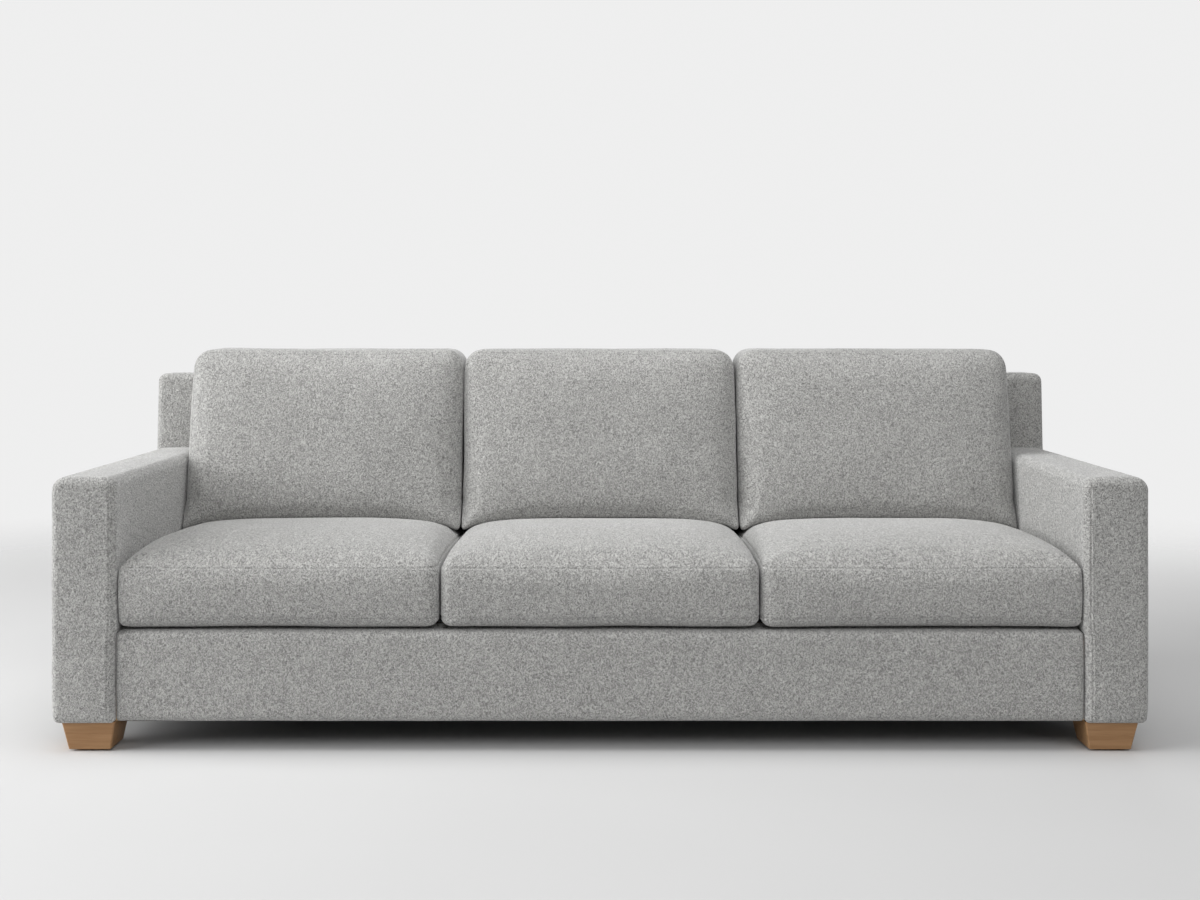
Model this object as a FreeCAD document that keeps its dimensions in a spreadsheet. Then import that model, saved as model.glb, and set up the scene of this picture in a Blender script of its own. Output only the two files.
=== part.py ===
import FreeCAD, Part
import Sketcher
import math
import os
import re

# Three-seat track-arm sofa on block legs, with three loose seat cushions and three loose
# back cushions. Millimetres and degrees. The origin lies on the floor under the middle of
# the sofa, +Z is up, the front faces -Y, and left and right are as seen from the front.

doc = FreeCAD.newDocument("Sofa")
sheet = doc.addObject("Spreadsheet::Sheet", "Sizes")

SIZES = [
    # overall form
    ("sofa_width", 2390),
    ("sofa_depth", 940),
    ("back_height", 801),
    ("arm_height", 603),
    ("arm_width", 138),
    ("back_thickness", 130),
    ("back_lean", 4),
    ("base_clearance", 66),
    ("deck_height", 275),
    ("rail_recess", 12),
    # upholstery layers
    ("cover_thickness", 2),
    ("arm_foam", 15),
    ("back_foam", 16),
    ("rail_foam", 10),
    ("layer_gap", 0.3),
    ("arm_radius", 18),
    ("back_radius", 20),
    ("rail_radius", 13),
    ("rail_wrap", 62),
    ("border_drop", 1),
    # timber frame
    ("board_thickness", 22),
    ("panel_thickness", 3),
    ("sill_thickness", 30),
    ("post_depth", 40),
    ("front_rail_thickness", 25),
    ("rear_rail_thickness", 30),
    ("side_rail_drop", 8),
    ("stretcher_height", 110),
    ("block_side", 85),
    ("block_height", 70),
    ("block_lift", 20),
    ("middle_post_spacing", 704),
    # suspension
    ("webbing_thickness", 2),
    ("webbing_width", 60),
    ("webbing_pitch", 110),
    ("webbing_start", 40),
    ("wire_size", 3.8),
    ("spring_reach", 25),
    ("spring_half_turn", 58),
    ("springs_per_seat", 4),
    ("clip_sheet", 1.4),
    ("clip_width", 44),
    ("clip_depth", 22),
    ("clip_inset", 5),
    ("wire_clearance", 0.15),
    ("deck_pad_thickness", 12),
    ("deck_rear_drop", 20),
    ("pull_through_room", 2),
    # legs
    ("leg_top_side", 116),
    ("leg_foot_side", 92),
    ("leg_setback", 14),
    ("leg_side_inset", 17),
    ("leg_edge_bevel", 2.5),
    ("felt_thickness", 4),
    ("felt_radius", 22),
    ("bolt_radius", 4),
    ("bolt_clearance", 0.2),
    ("bolt_leg_depth", 40),
    ("insert_radius", 6.5),
    ("insert_length", 20),
    # loose cushions
    ("cushion_gap", 1),
    ("seat_edge_height", 133),
    ("seat_crown", 29),
    ("back_cushion_top", 866),
    ("back_cushion_foot_thickness", 250),
    ("back_cushion_head_thickness", 165),
    ("back_cushion_crown", 20),
    ("seat_rim", 14),
    ("back_rim", 26),
    ("back_rear_rim", 18),
    ("seat_corner", 26),
    ("back_corner", 46),
    ("draw_in", 4),
    ("wrap_thickness", 22),
    ("core_bevel", 8),
    ("core_corner", 24),
    ("foot_margin", 25),
]

for row, (alias, amount) in enumerate(SIZES, 1):
    sheet.set(f"A{row}", alias.replace("_", " "))
    sheet.set(f"B{row}", str(amount))
    sheet.setAlias(f"B{row}", alias)
doc.recompute()

ALIASES = {alias for alias, amount in SIZES}

SEATS = 3
STRAPS = 4
REACH = "20"  # how far a cutting solid runs past an open or cut face
NEAR = 0.01  # two places closer than this are the same place
LEAST_RUN = 1  # an edge runs along an axis when its ends differ by more than this


def bind(text):
    """Turn an expression in plain size names into one that points at the sheet."""

    def point(word):
        name = word.group()
        return "Sizes." + name if name in ALIASES else name

    return re.sub(r"[a-z_]+", point, text)


def value(text):
    """The present number behind an expression in size names."""
    return float(sheet.evalExpression(bind(text)))


# Named planes and lines of the sofa, as expressions in the sizes.

HALF = "sofa_width / 2"
FRONT = "(-sofa_depth / 2)"
ARM_INNER = "(sofa_width / 2 - arm_width)"
ARM_LAYERS = "(cover_thickness + arm_foam + 2 * layer_gap)"
POST_INNER = f"({ARM_INNER} + {ARM_LAYERS} + panel_thickness)"
POST_OUTER = f"({HALF} - {ARM_LAYERS} - panel_thickness)"
BACK_LAYERS = "(cover_thickness + back_foam + 2 * layer_gap)"
BACK_END = f"({HALF} - {BACK_LAYERS})"
RAIL_FACE = f"({FRONT} + rail_recess)"
RAIL_LAYERS = "(cover_thickness + rail_foam + 2 * layer_gap)"
FRAME_BOTTOM = "(base_clearance + cover_thickness / 2)"
CLIP_STACK = "(2 * clip_sheet + wire_size + 2 * wire_clearance)"
RAIL_TOP = f"(deck_height - cover_thickness - deck_pad_thickness - 2 * layer_gap - {CLIP_STACK})"
PULL_THROUGH = "(deck_height - cover_thickness - deck_pad_thickness + pull_through_room)"
DECK_TOP = "(deck_height + layer_gap)"


def rear_face(z):
    """Y of the leaning outside back at a height."""
    return f"(sofa_depth / 2 - (back_height - ({z})) * tan(back_lean))"


def front_face(z):
    """Y of the leaning inside back at a height."""
    return f"({rear_face(z)} - back_thickness)"


def frame_front(z):
    """Y of the front edges of the back posts."""
    return f"({front_face(z)} + {BACK_LAYERS} + webbing_thickness)"


def frame_rear(z):
    """Y of the rear edges of the back posts."""
    return f"({rear_face(z)} - cover_thickness - layer_gap - panel_thickness)"


def box(label, x, y, z):
    """A board given by its low and high expression on each axis."""
    board = doc.addObject("Part::Box", label)
    for side, axis, (low, high) in zip(("Length", "Width", "Height"), "xyz", (x, y, z)):
        board.setExpression(side, bind(f"({high}) - ({low})"))
        board.setExpression(f"Placement.Base.{axis}", bind(low))
    return board


def profile(label, plane, corners, span):
    """A straight-sided outline on an origin plane, padded over a span across it."""
    body = doc.addObject("PartDesign::Body", label)
    sketch = body.newObject("Sketcher::SketchObject", label + "_outline")
    support = [feature for feature in body.Origin.OriginFeatures if feature.Role == plane]
    sketch.AttachmentSupport = [(support[0], "")]
    sketch.MapMode = "FlatFace"
    sketch.setExpression("AttachmentOffset.Base.z", bind(span[0]))
    points = [FreeCAD.Vector(value(across), value(up), 0) for across, up in corners]
    count = len(points)
    for index in range(count):
        sketch.addGeometry(Part.LineSegment(points[index], points[(index + 1) % count]))
    for index, (across, up) in enumerate(corners):
        sketch.addConstraint(Sketcher.Constraint("Coincident", index, 2, (index + 1) % count, 1))
        first = sketch.addConstraint(Sketcher.Constraint("DistanceX", -1, 1, index, 1, points[index].x))
        second = sketch.addConstraint(Sketcher.Constraint("DistanceY", -1, 1, index, 1, points[index].y))
        sketch.setExpression(f"Constraints[{first}]", bind(across))
        sketch.setExpression(f"Constraints[{second}]", bind(up))
    pad = body.newObject("PartDesign::Pad", label + "_pad")
    pad.Profile = sketch
    pad.setExpression("Length", bind(f"({span[1]}) - ({span[0]})"))
    return body


def rounded_block(label, corners, span, radius, square_ends=False):
    """An upholstered block: front, top and (unless square) end edges are rounded.

    The corners run front bottom, rear bottom, rear top, front top. The bottom and the rear
    keep their sharp edges, because the cover is open there.
    """
    body = profile(label, "YZ_Plane", corners, span)
    doc.recompute()
    low = value(corners[0][1])
    high = value(corners[2][1])
    rear_low = value(corners[1][0])
    rear_high = value(corners[2][0])
    names = []
    for number, edge in enumerate(body.Shape.Edges, 1):
        ends = [vertex.Point for vertex in edge.Vertexes]
        slope = (rear_high - rear_low) / (high - low)
        at_bottom = all(abs(point.z - low) < NEAR for point in ends)
        at_rear = all(abs(point.y - rear_low - slope * (point.z - low)) < NEAR for point in ends)
        along = abs(ends[0].x - ends[1].x) > LEAST_RUN
        if not at_bottom and not at_rear and (along or not square_ends):
            names.append(f"Edge{number}")
    pad = body.Tip
    fillet = body.newObject("PartDesign::Fillet", label + "_rounding")
    fillet.Base = (pad, names)
    fillet.setExpression("Radius", bind(radius))
    body.Tip = fillet
    return body


def cut(label, base, tool):
    """What is left of one solid when another is taken away."""
    result = doc.addObject("Part::Cut", label)
    result.Base = base
    result.Tool = tool
    return result


def mirror(label, source):
    """The same piece on the other side of the middle of the sofa."""
    copy = doc.addObject("Part::Mirroring", label)
    copy.Source = source
    copy.Normal = FreeCAD.Vector(1, 0, 0)
    copy.Base = FreeCAD.Vector(0, 0, 0)
    return copy


def group(label, pieces):
    """Several like solids that make one sub-part."""
    compound = doc.addObject("Part::Compound", label)
    compound.Links = pieces
    return compound


def shaped(label, solid, place=FreeCAD.Vector(0, 0, 0)):
    """A sub-part whose form comes from a formula, moved to its place."""
    piece = doc.addObject("Part::Feature", label)
    piece.Shape = solid
    piece.Placement = FreeCAD.Placement(place, FreeCAD.Rotation())
    return piece


def repeated(label, source, places):
    """Copies of one piece at several places across the sofa."""
    doc.recompute()
    copies = [source.Shape.translated(place) for place in places]
    return shaped(label, Part.makeCompound(copies))


nodes = []


def keep(*pieces):
    """Note the finished sub-parts in the order in which they are written."""
    nodes.extend(pieces)


# Seat base: two long rails between the arms, side rails, stretchers and corner blocks.

front_rail_y = (f"{RAIL_FACE} + {RAIL_LAYERS}", f"{RAIL_FACE} + {RAIL_LAYERS} + front_rail_thickness")
rear_rail_front = f"({frame_front(FRAME_BOTTOM)} - rear_rail_thickness)"

front_rail = box("front_rail", (f"-{POST_INNER}", POST_INNER), front_rail_y, (FRAME_BOTTOM, RAIL_TOP))

rear_rail_corners = [
    (rear_rail_front, FRAME_BOTTOM),
    (frame_front(FRAME_BOTTOM), FRAME_BOTTOM),
    (frame_front(RAIL_TOP), RAIL_TOP),
    (rear_rail_front, RAIL_TOP),
]
rear_rail = profile("rear_rail", "YZ_Plane", rear_rail_corners, (f"-{POST_INNER}", POST_INNER))

side_rail_x = (f"-{POST_INNER}", f"-{POST_INNER} + board_thickness")
between_rails = (front_rail_y[1], rear_rail_front)
side_rail_top = f"({RAIL_TOP} - side_rail_drop)"
left_side_rail = box("left_side_rail", side_rail_x, between_rails, (FRAME_BOTTOM, side_rail_top))
right_side_rail = mirror("right_side_rail", left_side_rail)

stretcher_x = (
    "-middle_post_spacing / 2 - board_thickness / 2",
    "-middle_post_spacing / 2 + board_thickness / 2",
)
stretcher_z = (FRAME_BOTTOM, f"{FRAME_BOTTOM} + stretcher_height")
left_stretcher = box("left_stretcher", stretcher_x, between_rails, stretcher_z)
right_stretcher = mirror("right_stretcher", left_stretcher)
seat_stretchers = group("seat_stretchers", [left_stretcher, right_stretcher])

block_z = (f"{FRAME_BOTTOM} + block_lift", f"{FRAME_BOTTOM} + block_lift + block_height")
front_block_corners = [
    (side_rail_x[1], front_rail_y[1]),
    (f"{side_rail_x[1]} + block_side", front_rail_y[1]),
    (side_rail_x[1], f"{front_rail_y[1]} + block_side"),
]
rear_block_corners = [
    (side_rail_x[1], rear_rail_front),
    (side_rail_x[1], f"{rear_rail_front} - block_side"),
    (f"{side_rail_x[1]} + block_side", rear_rail_front),
]
front_left_block = profile("front_left_block", "XY_Plane", front_block_corners, block_z)
rear_left_block = profile("rear_left_block", "XY_Plane", rear_block_corners, block_z)
front_right_block = mirror("front_right_block", front_left_block)
rear_right_block = mirror("rear_right_block", rear_left_block)
corner_blocks = group(
    "corner_blocks",
    [front_left_block, front_right_block, rear_left_block, rear_right_block],
)

keep(front_rail, rear_rail, left_side_rail, right_side_rail, seat_stretchers, corner_blocks)

# Legs: tapered blocks with a felt pad, each hung on a bolt that runs up into a threaded insert.

LEG_TOP = "base_clearance"
LEG_X = f"(-{HALF} + leg_side_inset + leg_top_side / 2)"
FRONT_LEG_Y = f"({FRONT} + leg_setback + leg_top_side / 2)"
REAR_LEG_Y = f"({rear_face('base_clearance')} - leg_setback - leg_top_side / 2)"


def leg(label, y):
    """A block leg that tapers to its foot, bored from above for its bolt."""
    body = doc.addObject("PartDesign::Body", label)
    block = body.newObject("PartDesign::AdditiveWedge", label + "_block")
    block.MapMode = "Deactivated"
    upright = FreeCAD.Rotation(FreeCAD.Vector(1, 0, 0), 90)
    block.Placement = FreeCAD.Placement(FreeCAD.Vector(0, 0, 0), upright)
    for axis in "XZ":
        block.setExpression(f"{axis}min", bind("-leg_foot_side / 2"))
        block.setExpression(f"{axis}max", bind("leg_foot_side / 2"))
        block.setExpression(f"{axis}2min", bind("-leg_top_side / 2"))
        block.setExpression(f"{axis}2max", bind("leg_top_side / 2"))
    block.Ymin = 0
    block.setExpression("Ymax", bind(f"{LEG_TOP} - felt_thickness"))
    doc.recompute()
    names = []
    for number, edge in enumerate(block.Shape.Edges, 1):
        ends = [vertex.Point for vertex in edge.Vertexes]
        if abs(ends[0].z - ends[1].z) > LEAST_RUN:
            names.append(f"Edge{number}")
    bevel = body.newObject("PartDesign::Chamfer", label + "_bevel")
    bevel.Base = (block, names)
    bevel.setExpression("Size", bind("leg_edge_bevel"))
    bore = body.newObject("Sketcher::SketchObject", label + "_bore")
    floor = [feature for feature in body.Origin.OriginFeatures if feature.Role == "XY_Plane"][0]
    bore.AttachmentSupport = [(floor, "")]
    bore.MapMode = "FlatFace"
    bore.setExpression("AttachmentOffset.Base.z", bind(f"{LEG_TOP} - felt_thickness"))
    bore.addGeometry(Part.Circle(FreeCAD.Vector(0, 0, 0), FreeCAD.Vector(0, 0, 1), value("bolt_radius")))
    bore.addConstraint(Sketcher.Constraint("Coincident", 0, 3, -1, 1))
    width = bore.addConstraint(Sketcher.Constraint("Radius", 0, value("bolt_radius")))
    bore.setExpression(f"Constraints[{width}]", bind("bolt_radius + bolt_clearance"))
    hole = body.newObject("PartDesign::Pocket", label + "_hole")
    hole.Profile = bore
    hole.setExpression("Length", bind("bolt_leg_depth + layer_gap"))
    body.Tip = hole
    doc.recompute()
    if not hole.Shape.Volume < bevel.Shape.Volume - LEAST_RUN:
        raise RuntimeError(label + " has no bolt hole")
    body.setExpression("Placement.Base.x", bind(LEG_X))
    body.setExpression("Placement.Base.y", bind(y))
    body.setExpression("Placement.Base.z", bind("felt_thickness"))
    return body


def round_bar(label, y, radius, low, high):
    """An upright round bar on the line of a left leg bolt."""
    bar = doc.addObject("Part::Cylinder", label)
    bar.setExpression("Radius", bind(radius))
    bar.setExpression("Height", bind(f"({high}) - ({low})"))
    bar.setExpression("Placement.Base.x", bind(LEG_X))
    bar.setExpression("Placement.Base.y", bind(y))
    bar.setExpression("Placement.Base.z", bind(low))
    return bar


SILL_TOP = f"({FRAME_BOTTOM} + sill_thickness)"
INSERT_LOW = f"({SILL_TOP} - insert_length)"
BOLT_ROOM = "bolt_radius + bolt_clearance"


def leg_hardware(label, y):
    """The bolt, threaded insert and felt pad of one left leg."""
    bolt = round_bar(label + "_bolt", y, "bolt_radius", f"{LEG_TOP} - bolt_leg_depth", SILL_TOP)
    barrel = round_bar(label + "_barrel", y, "insert_radius", INSERT_LOW, SILL_TOP)
    thread = round_bar(label + "_thread", y, BOLT_ROOM, f"{INSERT_LOW} - {REACH}", f"{SILL_TOP} + {REACH}")
    insert = cut(label + "_insert", barrel, thread)
    felt = round_bar(label + "_felt", y, "felt_radius", "0", "felt_thickness")
    return bolt, insert, felt


def sill_bore(label, y):
    """The stepped hole through a sill: bolt below, threaded insert above."""
    above = f"{SILL_TOP} + {REACH}"
    shank = round_bar(label + "_shank", y, BOLT_ROOM, f"{FRAME_BOTTOM} - {REACH}", above)
    socket_low = f"({INSERT_LOW} - layer_gap)"
    socket = round_bar(label + "_socket", y, "insert_radius + bolt_clearance", socket_low, above)
    bore = doc.addObject("Part::Fuse", label)
    bore.Base = shank
    bore.Tool = socket
    return bore


front_left_leg = leg("front_left_leg", FRONT_LEG_Y)
rear_left_leg = leg("rear_left_leg", REAR_LEG_Y)
front_right_leg = mirror("front_right_leg", front_left_leg)
rear_right_leg = mirror("rear_right_leg", rear_left_leg)
front_bolt, front_insert, front_felt = leg_hardware("front_leg", FRONT_LEG_Y)
rear_bolt, rear_insert, rear_felt = leg_hardware("rear_leg", REAR_LEG_Y)


def four(label, front, rear):
    """The same small part at all four legs."""
    front_right = mirror(label + "_front_right", front)
    rear_right = mirror(label + "_rear_right", rear)
    return group(label, [front, front_right, rear, rear_right])


leg_bolts = four("leg_bolts", front_bolt, rear_bolt)
leg_inserts = four("leg_inserts", front_insert, rear_insert)
felt_pads = four("felt_pads", front_felt, rear_felt)

keep(front_left_leg, front_right_leg, rear_left_leg, rear_right_leg, leg_bolts, leg_inserts, felt_pads)

# Arms: a post at each end between a sill and a top rail, thin panels on both sides, then
# padding and cover. The right arm mirrors the left one.


def arm_rear(z):
    """Y where an arm meets the leaning inside back."""
    return f"({front_face(z)} - layer_gap)"


def arm_corners(inset, reach, bottom):
    """The side outline of an arm layer, with reach past its open bottom and rear."""
    low = f"({bottom} - {reach})"
    high = f"(arm_height - {inset})"
    return [
        (f"{FRONT} + {inset}", low),
        (f"{arm_rear(low)} + {reach}", low),
        (f"{arm_rear(high)} + {reach}", high),
        (f"{FRONT} + {inset}", high),
    ]


def arm_span(inset):
    """The left and right side of an arm layer of the left arm."""
    return (f"-{HALF} + {inset}", f"-{HALF} + arm_width - {inset}")


ARM_PAD_INSET = "(cover_thickness + layer_gap)"
ARM_FRAME_INSET = "(cover_thickness + layer_gap + arm_foam)"
ARM_FRONT = f"({FRONT} + {ARM_LAYERS})"
ARM_TOP = f"(arm_height - {ARM_LAYERS})"
post_x = (f"-{POST_OUTER}", f"-{POST_INNER}")
post_top = f"({ARM_TOP} - board_thickness)"

arm_opening_x = (f"-{POST_INNER} - layer_gap", f"-{ARM_INNER} + {REACH}")
arm_opening_y = (f"{front_rail_y[0]} - layer_gap", "sofa_depth")


def arm_opening(label):
    """Where the seat base passes through the inside of an arm, below the deck."""
    return box(label, arm_opening_x, arm_opening_y, (f"base_clearance - {REACH}", PULL_THROUGH))


cover_corners = arm_corners("0", "0", "base_clearance")
cover_block = rounded_block("left_arm_cover_block", cover_corners, arm_span("0"), "arm_radius")
cover_room_corners = arm_corners("cover_thickness", REACH, "base_clearance")
cover_room_span = arm_span("cover_thickness")
cover_room_radius = "arm_radius - cover_thickness"
cover_room = rounded_block("left_arm_cover_room", cover_room_corners, cover_room_span, cover_room_radius)
cover_shell = cut("left_arm_cover_shell", cover_block, cover_room)
left_arm_cover = cut("left_arm_cover", cover_shell, arm_opening("left_arm_cover_opening"))

pad_corners = arm_corners(ARM_PAD_INSET, "0", FRAME_BOTTOM)
pad_radius = "arm_radius - cover_thickness - layer_gap"
pad_block = rounded_block("left_arm_padding_block", pad_corners, arm_span(ARM_PAD_INSET), pad_radius)
pad_room_corners = arm_corners(ARM_FRAME_INSET, REACH, FRAME_BOTTOM)
pad_room = profile("left_arm_padding_room", "YZ_Plane", pad_room_corners, arm_span(ARM_FRAME_INSET))
pad_shell = cut("left_arm_padding_shell", pad_block, pad_room)
left_arm_padding = cut("left_arm_padding", pad_shell, arm_opening("left_arm_padding_opening"))

front_post_y = (ARM_FRONT, f"{ARM_FRONT} + post_depth")
left_arm_front_post = box("left_arm_front_post", post_x, front_post_y, (SILL_TOP, post_top))

rear_post_corners = [
    (f"{arm_rear(SILL_TOP)} - post_depth", SILL_TOP),
    (arm_rear(SILL_TOP), SILL_TOP),
    (arm_rear(post_top), post_top),
    (f"{arm_rear(post_top)} - post_depth", post_top),
]
left_arm_rear_post = profile("left_arm_rear_post", "YZ_Plane", rear_post_corners, post_x)

top_rail_corners = [
    (ARM_FRONT, post_top),
    (arm_rear(post_top), post_top),
    (arm_rear(ARM_TOP), ARM_TOP),
    (ARM_FRONT, ARM_TOP),
]
left_arm_top_rail = profile("left_arm_top_rail", "YZ_Plane", top_rail_corners, post_x)

sill_corners = [
    (ARM_FRONT, FRAME_BOTTOM),
    (arm_rear(FRAME_BOTTOM), FRAME_BOTTOM),
    (arm_rear(SILL_TOP), SILL_TOP),
    (ARM_FRONT, SILL_TOP),
]
sill_blank = profile("left_arm_sill_blank", "YZ_Plane", sill_corners, post_x)
left_arm_sill = cut("left_arm_sill", sill_blank, sill_bore("left_arm_sill_bore", FRONT_LEG_Y))


def arm_panel(label, x, low):
    """A thin panel on one side of the arm frame, up to the top of the top rail."""
    corners = [
        (ARM_FRONT, low),
        (arm_rear(low), low),
        (arm_rear(ARM_TOP), ARM_TOP),
        (ARM_FRONT, ARM_TOP),
    ]
    return profile(label, "YZ_Plane", corners, x)


inner_panel_x = (f"-{POST_INNER}", f"-{POST_INNER} + panel_thickness")
outer_panel_x = (f"-{POST_OUTER} - panel_thickness", f"-{POST_OUTER}")
left_arm_inner_panel = arm_panel("left_arm_inner_panel", inner_panel_x, PULL_THROUGH)
left_arm_outer_panel = arm_panel("left_arm_outer_panel", outer_panel_x, FRAME_BOTTOM)

left_arm = [
    left_arm_front_post,
    left_arm_rear_post,
    left_arm_top_rail,
    left_arm_sill,
    left_arm_inner_panel,
    left_arm_outer_panel,
    left_arm_padding,
    left_arm_cover,
]
for piece in left_arm:
    keep(piece, mirror(piece.Label.replace("left", "right"), piece))

# Back: a leaning box frame of four posts between a sill and a top rail, webbing across the
# front, padding and cover over the front, top and ends, and a board and cloth behind.


def back_bar(label, low, high, span, front=frame_front, rear=frame_rear):
    """A length of the leaning back between two heights."""
    corners = [(front(low), low), (rear(low), low), (rear(high), high), (front(high), high)]
    return profile(label, "YZ_Plane", corners, span)


BACK_TOP = f"(back_height - {BACK_LAYERS})"
back_post_top = f"({BACK_TOP} - board_thickness)"
back_width = (f"-{BACK_END}", BACK_END)

back_sill_blank = back_bar("back_sill_blank", FRAME_BOTTOM, SILL_TOP, back_width)
left_back_bore = sill_bore("left_back_sill_bore", REAR_LEG_Y)
right_back_bore = mirror("right_back_sill_bore", left_back_bore)
half_bored_sill = cut("half_bored_back_sill", back_sill_blank, left_back_bore)
back_sill = cut("back_sill", half_bored_sill, right_back_bore)
back_top_rail = back_bar("back_top_rail", back_post_top, BACK_TOP, back_width)

end_post_x = (f"-{BACK_END}", f"-{BACK_END} + board_thickness")
left_back_post = back_bar("left_back_post", SILL_TOP, back_post_top, end_post_x)
right_back_post = mirror("right_back_post", left_back_post)
left_middle_post = back_bar("left_middle_post", SILL_TOP, back_post_top, stretcher_x)
right_middle_post = mirror("right_middle_post", left_middle_post)
back_middle_posts = group("back_middle_posts", [left_middle_post, right_middle_post])


def webbing_face(z):
    """Y of the front of the webbing."""
    return f"({frame_front(z)} - webbing_thickness)"


straps = []
for index in range(STRAPS):
    strap_low = f"({PULL_THROUGH} + webbing_start + {index} * webbing_pitch)"
    strap_high = f"({strap_low} + webbing_width)"
    strap_name = f"strap_{index + 1}"
    straps.append(back_bar(strap_name, strap_low, strap_high, back_width, webbing_face, frame_front))
back_webbing = group("back_webbing", straps)


def back_corners(inset, reach, bottom, rear_inset):
    """The side outline of a back layer, with reach past its open bottom and rear."""
    low = f"({bottom} - {reach})"
    high = f"(back_height - {inset})"
    return [
        (f"{front_face(low)} + {inset}", low),
        (f"{rear_face(low)} - {rear_inset} + {reach}", low),
        (f"{rear_face(high)} - {rear_inset} + {reach}", high),
        (f"{front_face(high)} + {inset}", high),
    ]


def back_span(inset):
    """The two ends of a back layer."""
    return (f"-{HALF} + {inset}", f"{HALF} - {inset}")


def back_opening(label):
    """Where the rear rail meets the back posts, below the deck."""
    heights = (f"base_clearance - {REACH}", PULL_THROUGH)
    return box(label, back_width, ("0", frame_front(PULL_THROUGH)), heights)


back_block_corners = back_corners("0", "0", "base_clearance", "0")
back_block = rounded_block("back_cover_block", back_block_corners, back_span("0"), "back_radius")
back_room_corners = back_corners("cover_thickness", REACH, "base_clearance", "0")
back_room_span = back_span("cover_thickness")
back_room_radius = "back_radius - cover_thickness"
back_room = rounded_block("back_cover_room", back_room_corners, back_room_span, back_room_radius)
back_shell = cut("back_cover_shell", back_block, back_room)
back_cover = cut("back_cover", back_shell, back_opening("back_cover_opening"))

BACK_PAD_INSET = "(cover_thickness + layer_gap)"
BACK_FRAME_INSET = "(cover_thickness + layer_gap + back_foam)"
back_pad_corners = back_corners(BACK_PAD_INSET, "0", FRAME_BOTTOM, BACK_PAD_INSET)
back_pad_radius = "back_radius - cover_thickness - layer_gap"
back_pad_span = back_span(BACK_PAD_INSET)
back_pad_block = rounded_block("back_padding_block", back_pad_corners, back_pad_span, back_pad_radius)
back_pad_room_corners = back_corners(BACK_FRAME_INSET, REACH, FRAME_BOTTOM, "0")
back_pad_room_span = back_span(BACK_FRAME_INSET)
back_pad_room = profile("back_padding_room", "YZ_Plane", back_pad_room_corners, back_pad_room_span)
back_pad_shell = cut("back_padding_shell", back_pad_block, back_pad_room)
back_padding = cut("back_padding", back_pad_shell, back_opening("back_padding_opening"))


def board_rear(z):
    """Y of the rear of the outside back board."""
    return f"({frame_rear(z)} + panel_thickness)"


def cloth_front(z):
    """Y of the inner face of the outside back cloth."""
    return f"({rear_face(z)} - cover_thickness)"


board_heights = (FRAME_BOTTOM, BACK_TOP)
outside_back_board = back_bar("outside_back_board", *board_heights, back_width, frame_rear, board_rear)
cloth_heights = ("base_clearance", "back_height")
cloth_slab = back_bar("cloth_slab", *cloth_heights, back_span("0"), cloth_front, rear_face)
cloth_limit_corners = back_corners(BACK_PAD_INSET, REACH, "base_clearance", "0")
cloth_limits = rounded_block("cloth_limits", cloth_limit_corners, back_pad_span, back_pad_radius)
outside_back_cover = doc.addObject("Part::Common", "outside_back_cover")
outside_back_cover.Base = cloth_slab
outside_back_cover.Tool = cloth_limits

keep(back_sill, back_top_rail, left_back_post, right_back_post, back_middle_posts, back_webbing)
keep(back_padding, back_cover, outside_back_board, outside_back_cover)

# Front border: padding and cover that wrap over the front rail between the arms.


def border_corners(inset, reach, bottom):
    """The side outline of a border layer, with reach past its open bottom and rear."""
    return [
        (f"{RAIL_FACE} + {inset}", f"{bottom} - {reach}"),
        (f"{RAIL_FACE} + rail_wrap + {reach}", f"{bottom} - {reach}"),
        (f"{RAIL_FACE} + rail_wrap + {reach}", f"deck_height - border_drop - {inset}"),
        (f"{RAIL_FACE} + {inset}", f"deck_height - border_drop - {inset}"),
    ]


def border_span(reach):
    """The two ends of the border, just clear of the arms."""
    return (f"-{ARM_INNER} + layer_gap - {reach}", f"{ARM_INNER} - layer_gap + {reach}")


border_block_corners = border_corners("0", "0", "base_clearance")
border_block = rounded_block("border_block", border_block_corners, border_span("0"), "rail_radius", True)
border_room_corners = border_corners("cover_thickness", REACH, "base_clearance")
border_room_radius = "rail_radius - cover_thickness"
border_room = rounded_block("border_room", border_room_corners, border_span(REACH), border_room_radius, True)
front_rail_cover = cut("front_rail_cover", border_block, border_room)

border_pad_inset = "(cover_thickness + layer_gap)"
border_pad_corners = border_corners(border_pad_inset, "0", FRAME_BOTTOM)
border_pad_radius = "rail_radius - cover_thickness - layer_gap"
border_pad = rounded_block("border_pad", border_pad_corners, border_span("0"), border_pad_radius, True)
border_pad_room_corners = [
    (f"{RAIL_FACE} + {border_pad_inset} + rail_foam", f"{FRAME_BOTTOM} - {REACH}"),
    (f"{RAIL_FACE} + rail_wrap + {REACH}", f"{FRAME_BOTTOM} - {REACH}"),
    (f"{RAIL_FACE} + rail_wrap + {REACH}", f"{RAIL_TOP} + {CLIP_STACK} + layer_gap"),
    (f"{RAIL_FACE} + {border_pad_inset} + rail_foam", f"{RAIL_TOP} + {CLIP_STACK} + layer_gap"),
]
border_pad_room = profile("border_pad_room", "YZ_Plane", border_pad_room_corners, border_span(REACH))
front_rail_padding = cut("front_rail_padding", border_pad, border_pad_room)

keep(front_rail_padding, front_rail_cover)

# Suspension: flat zigzag springs from rail to rail, held in folded clips.

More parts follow.
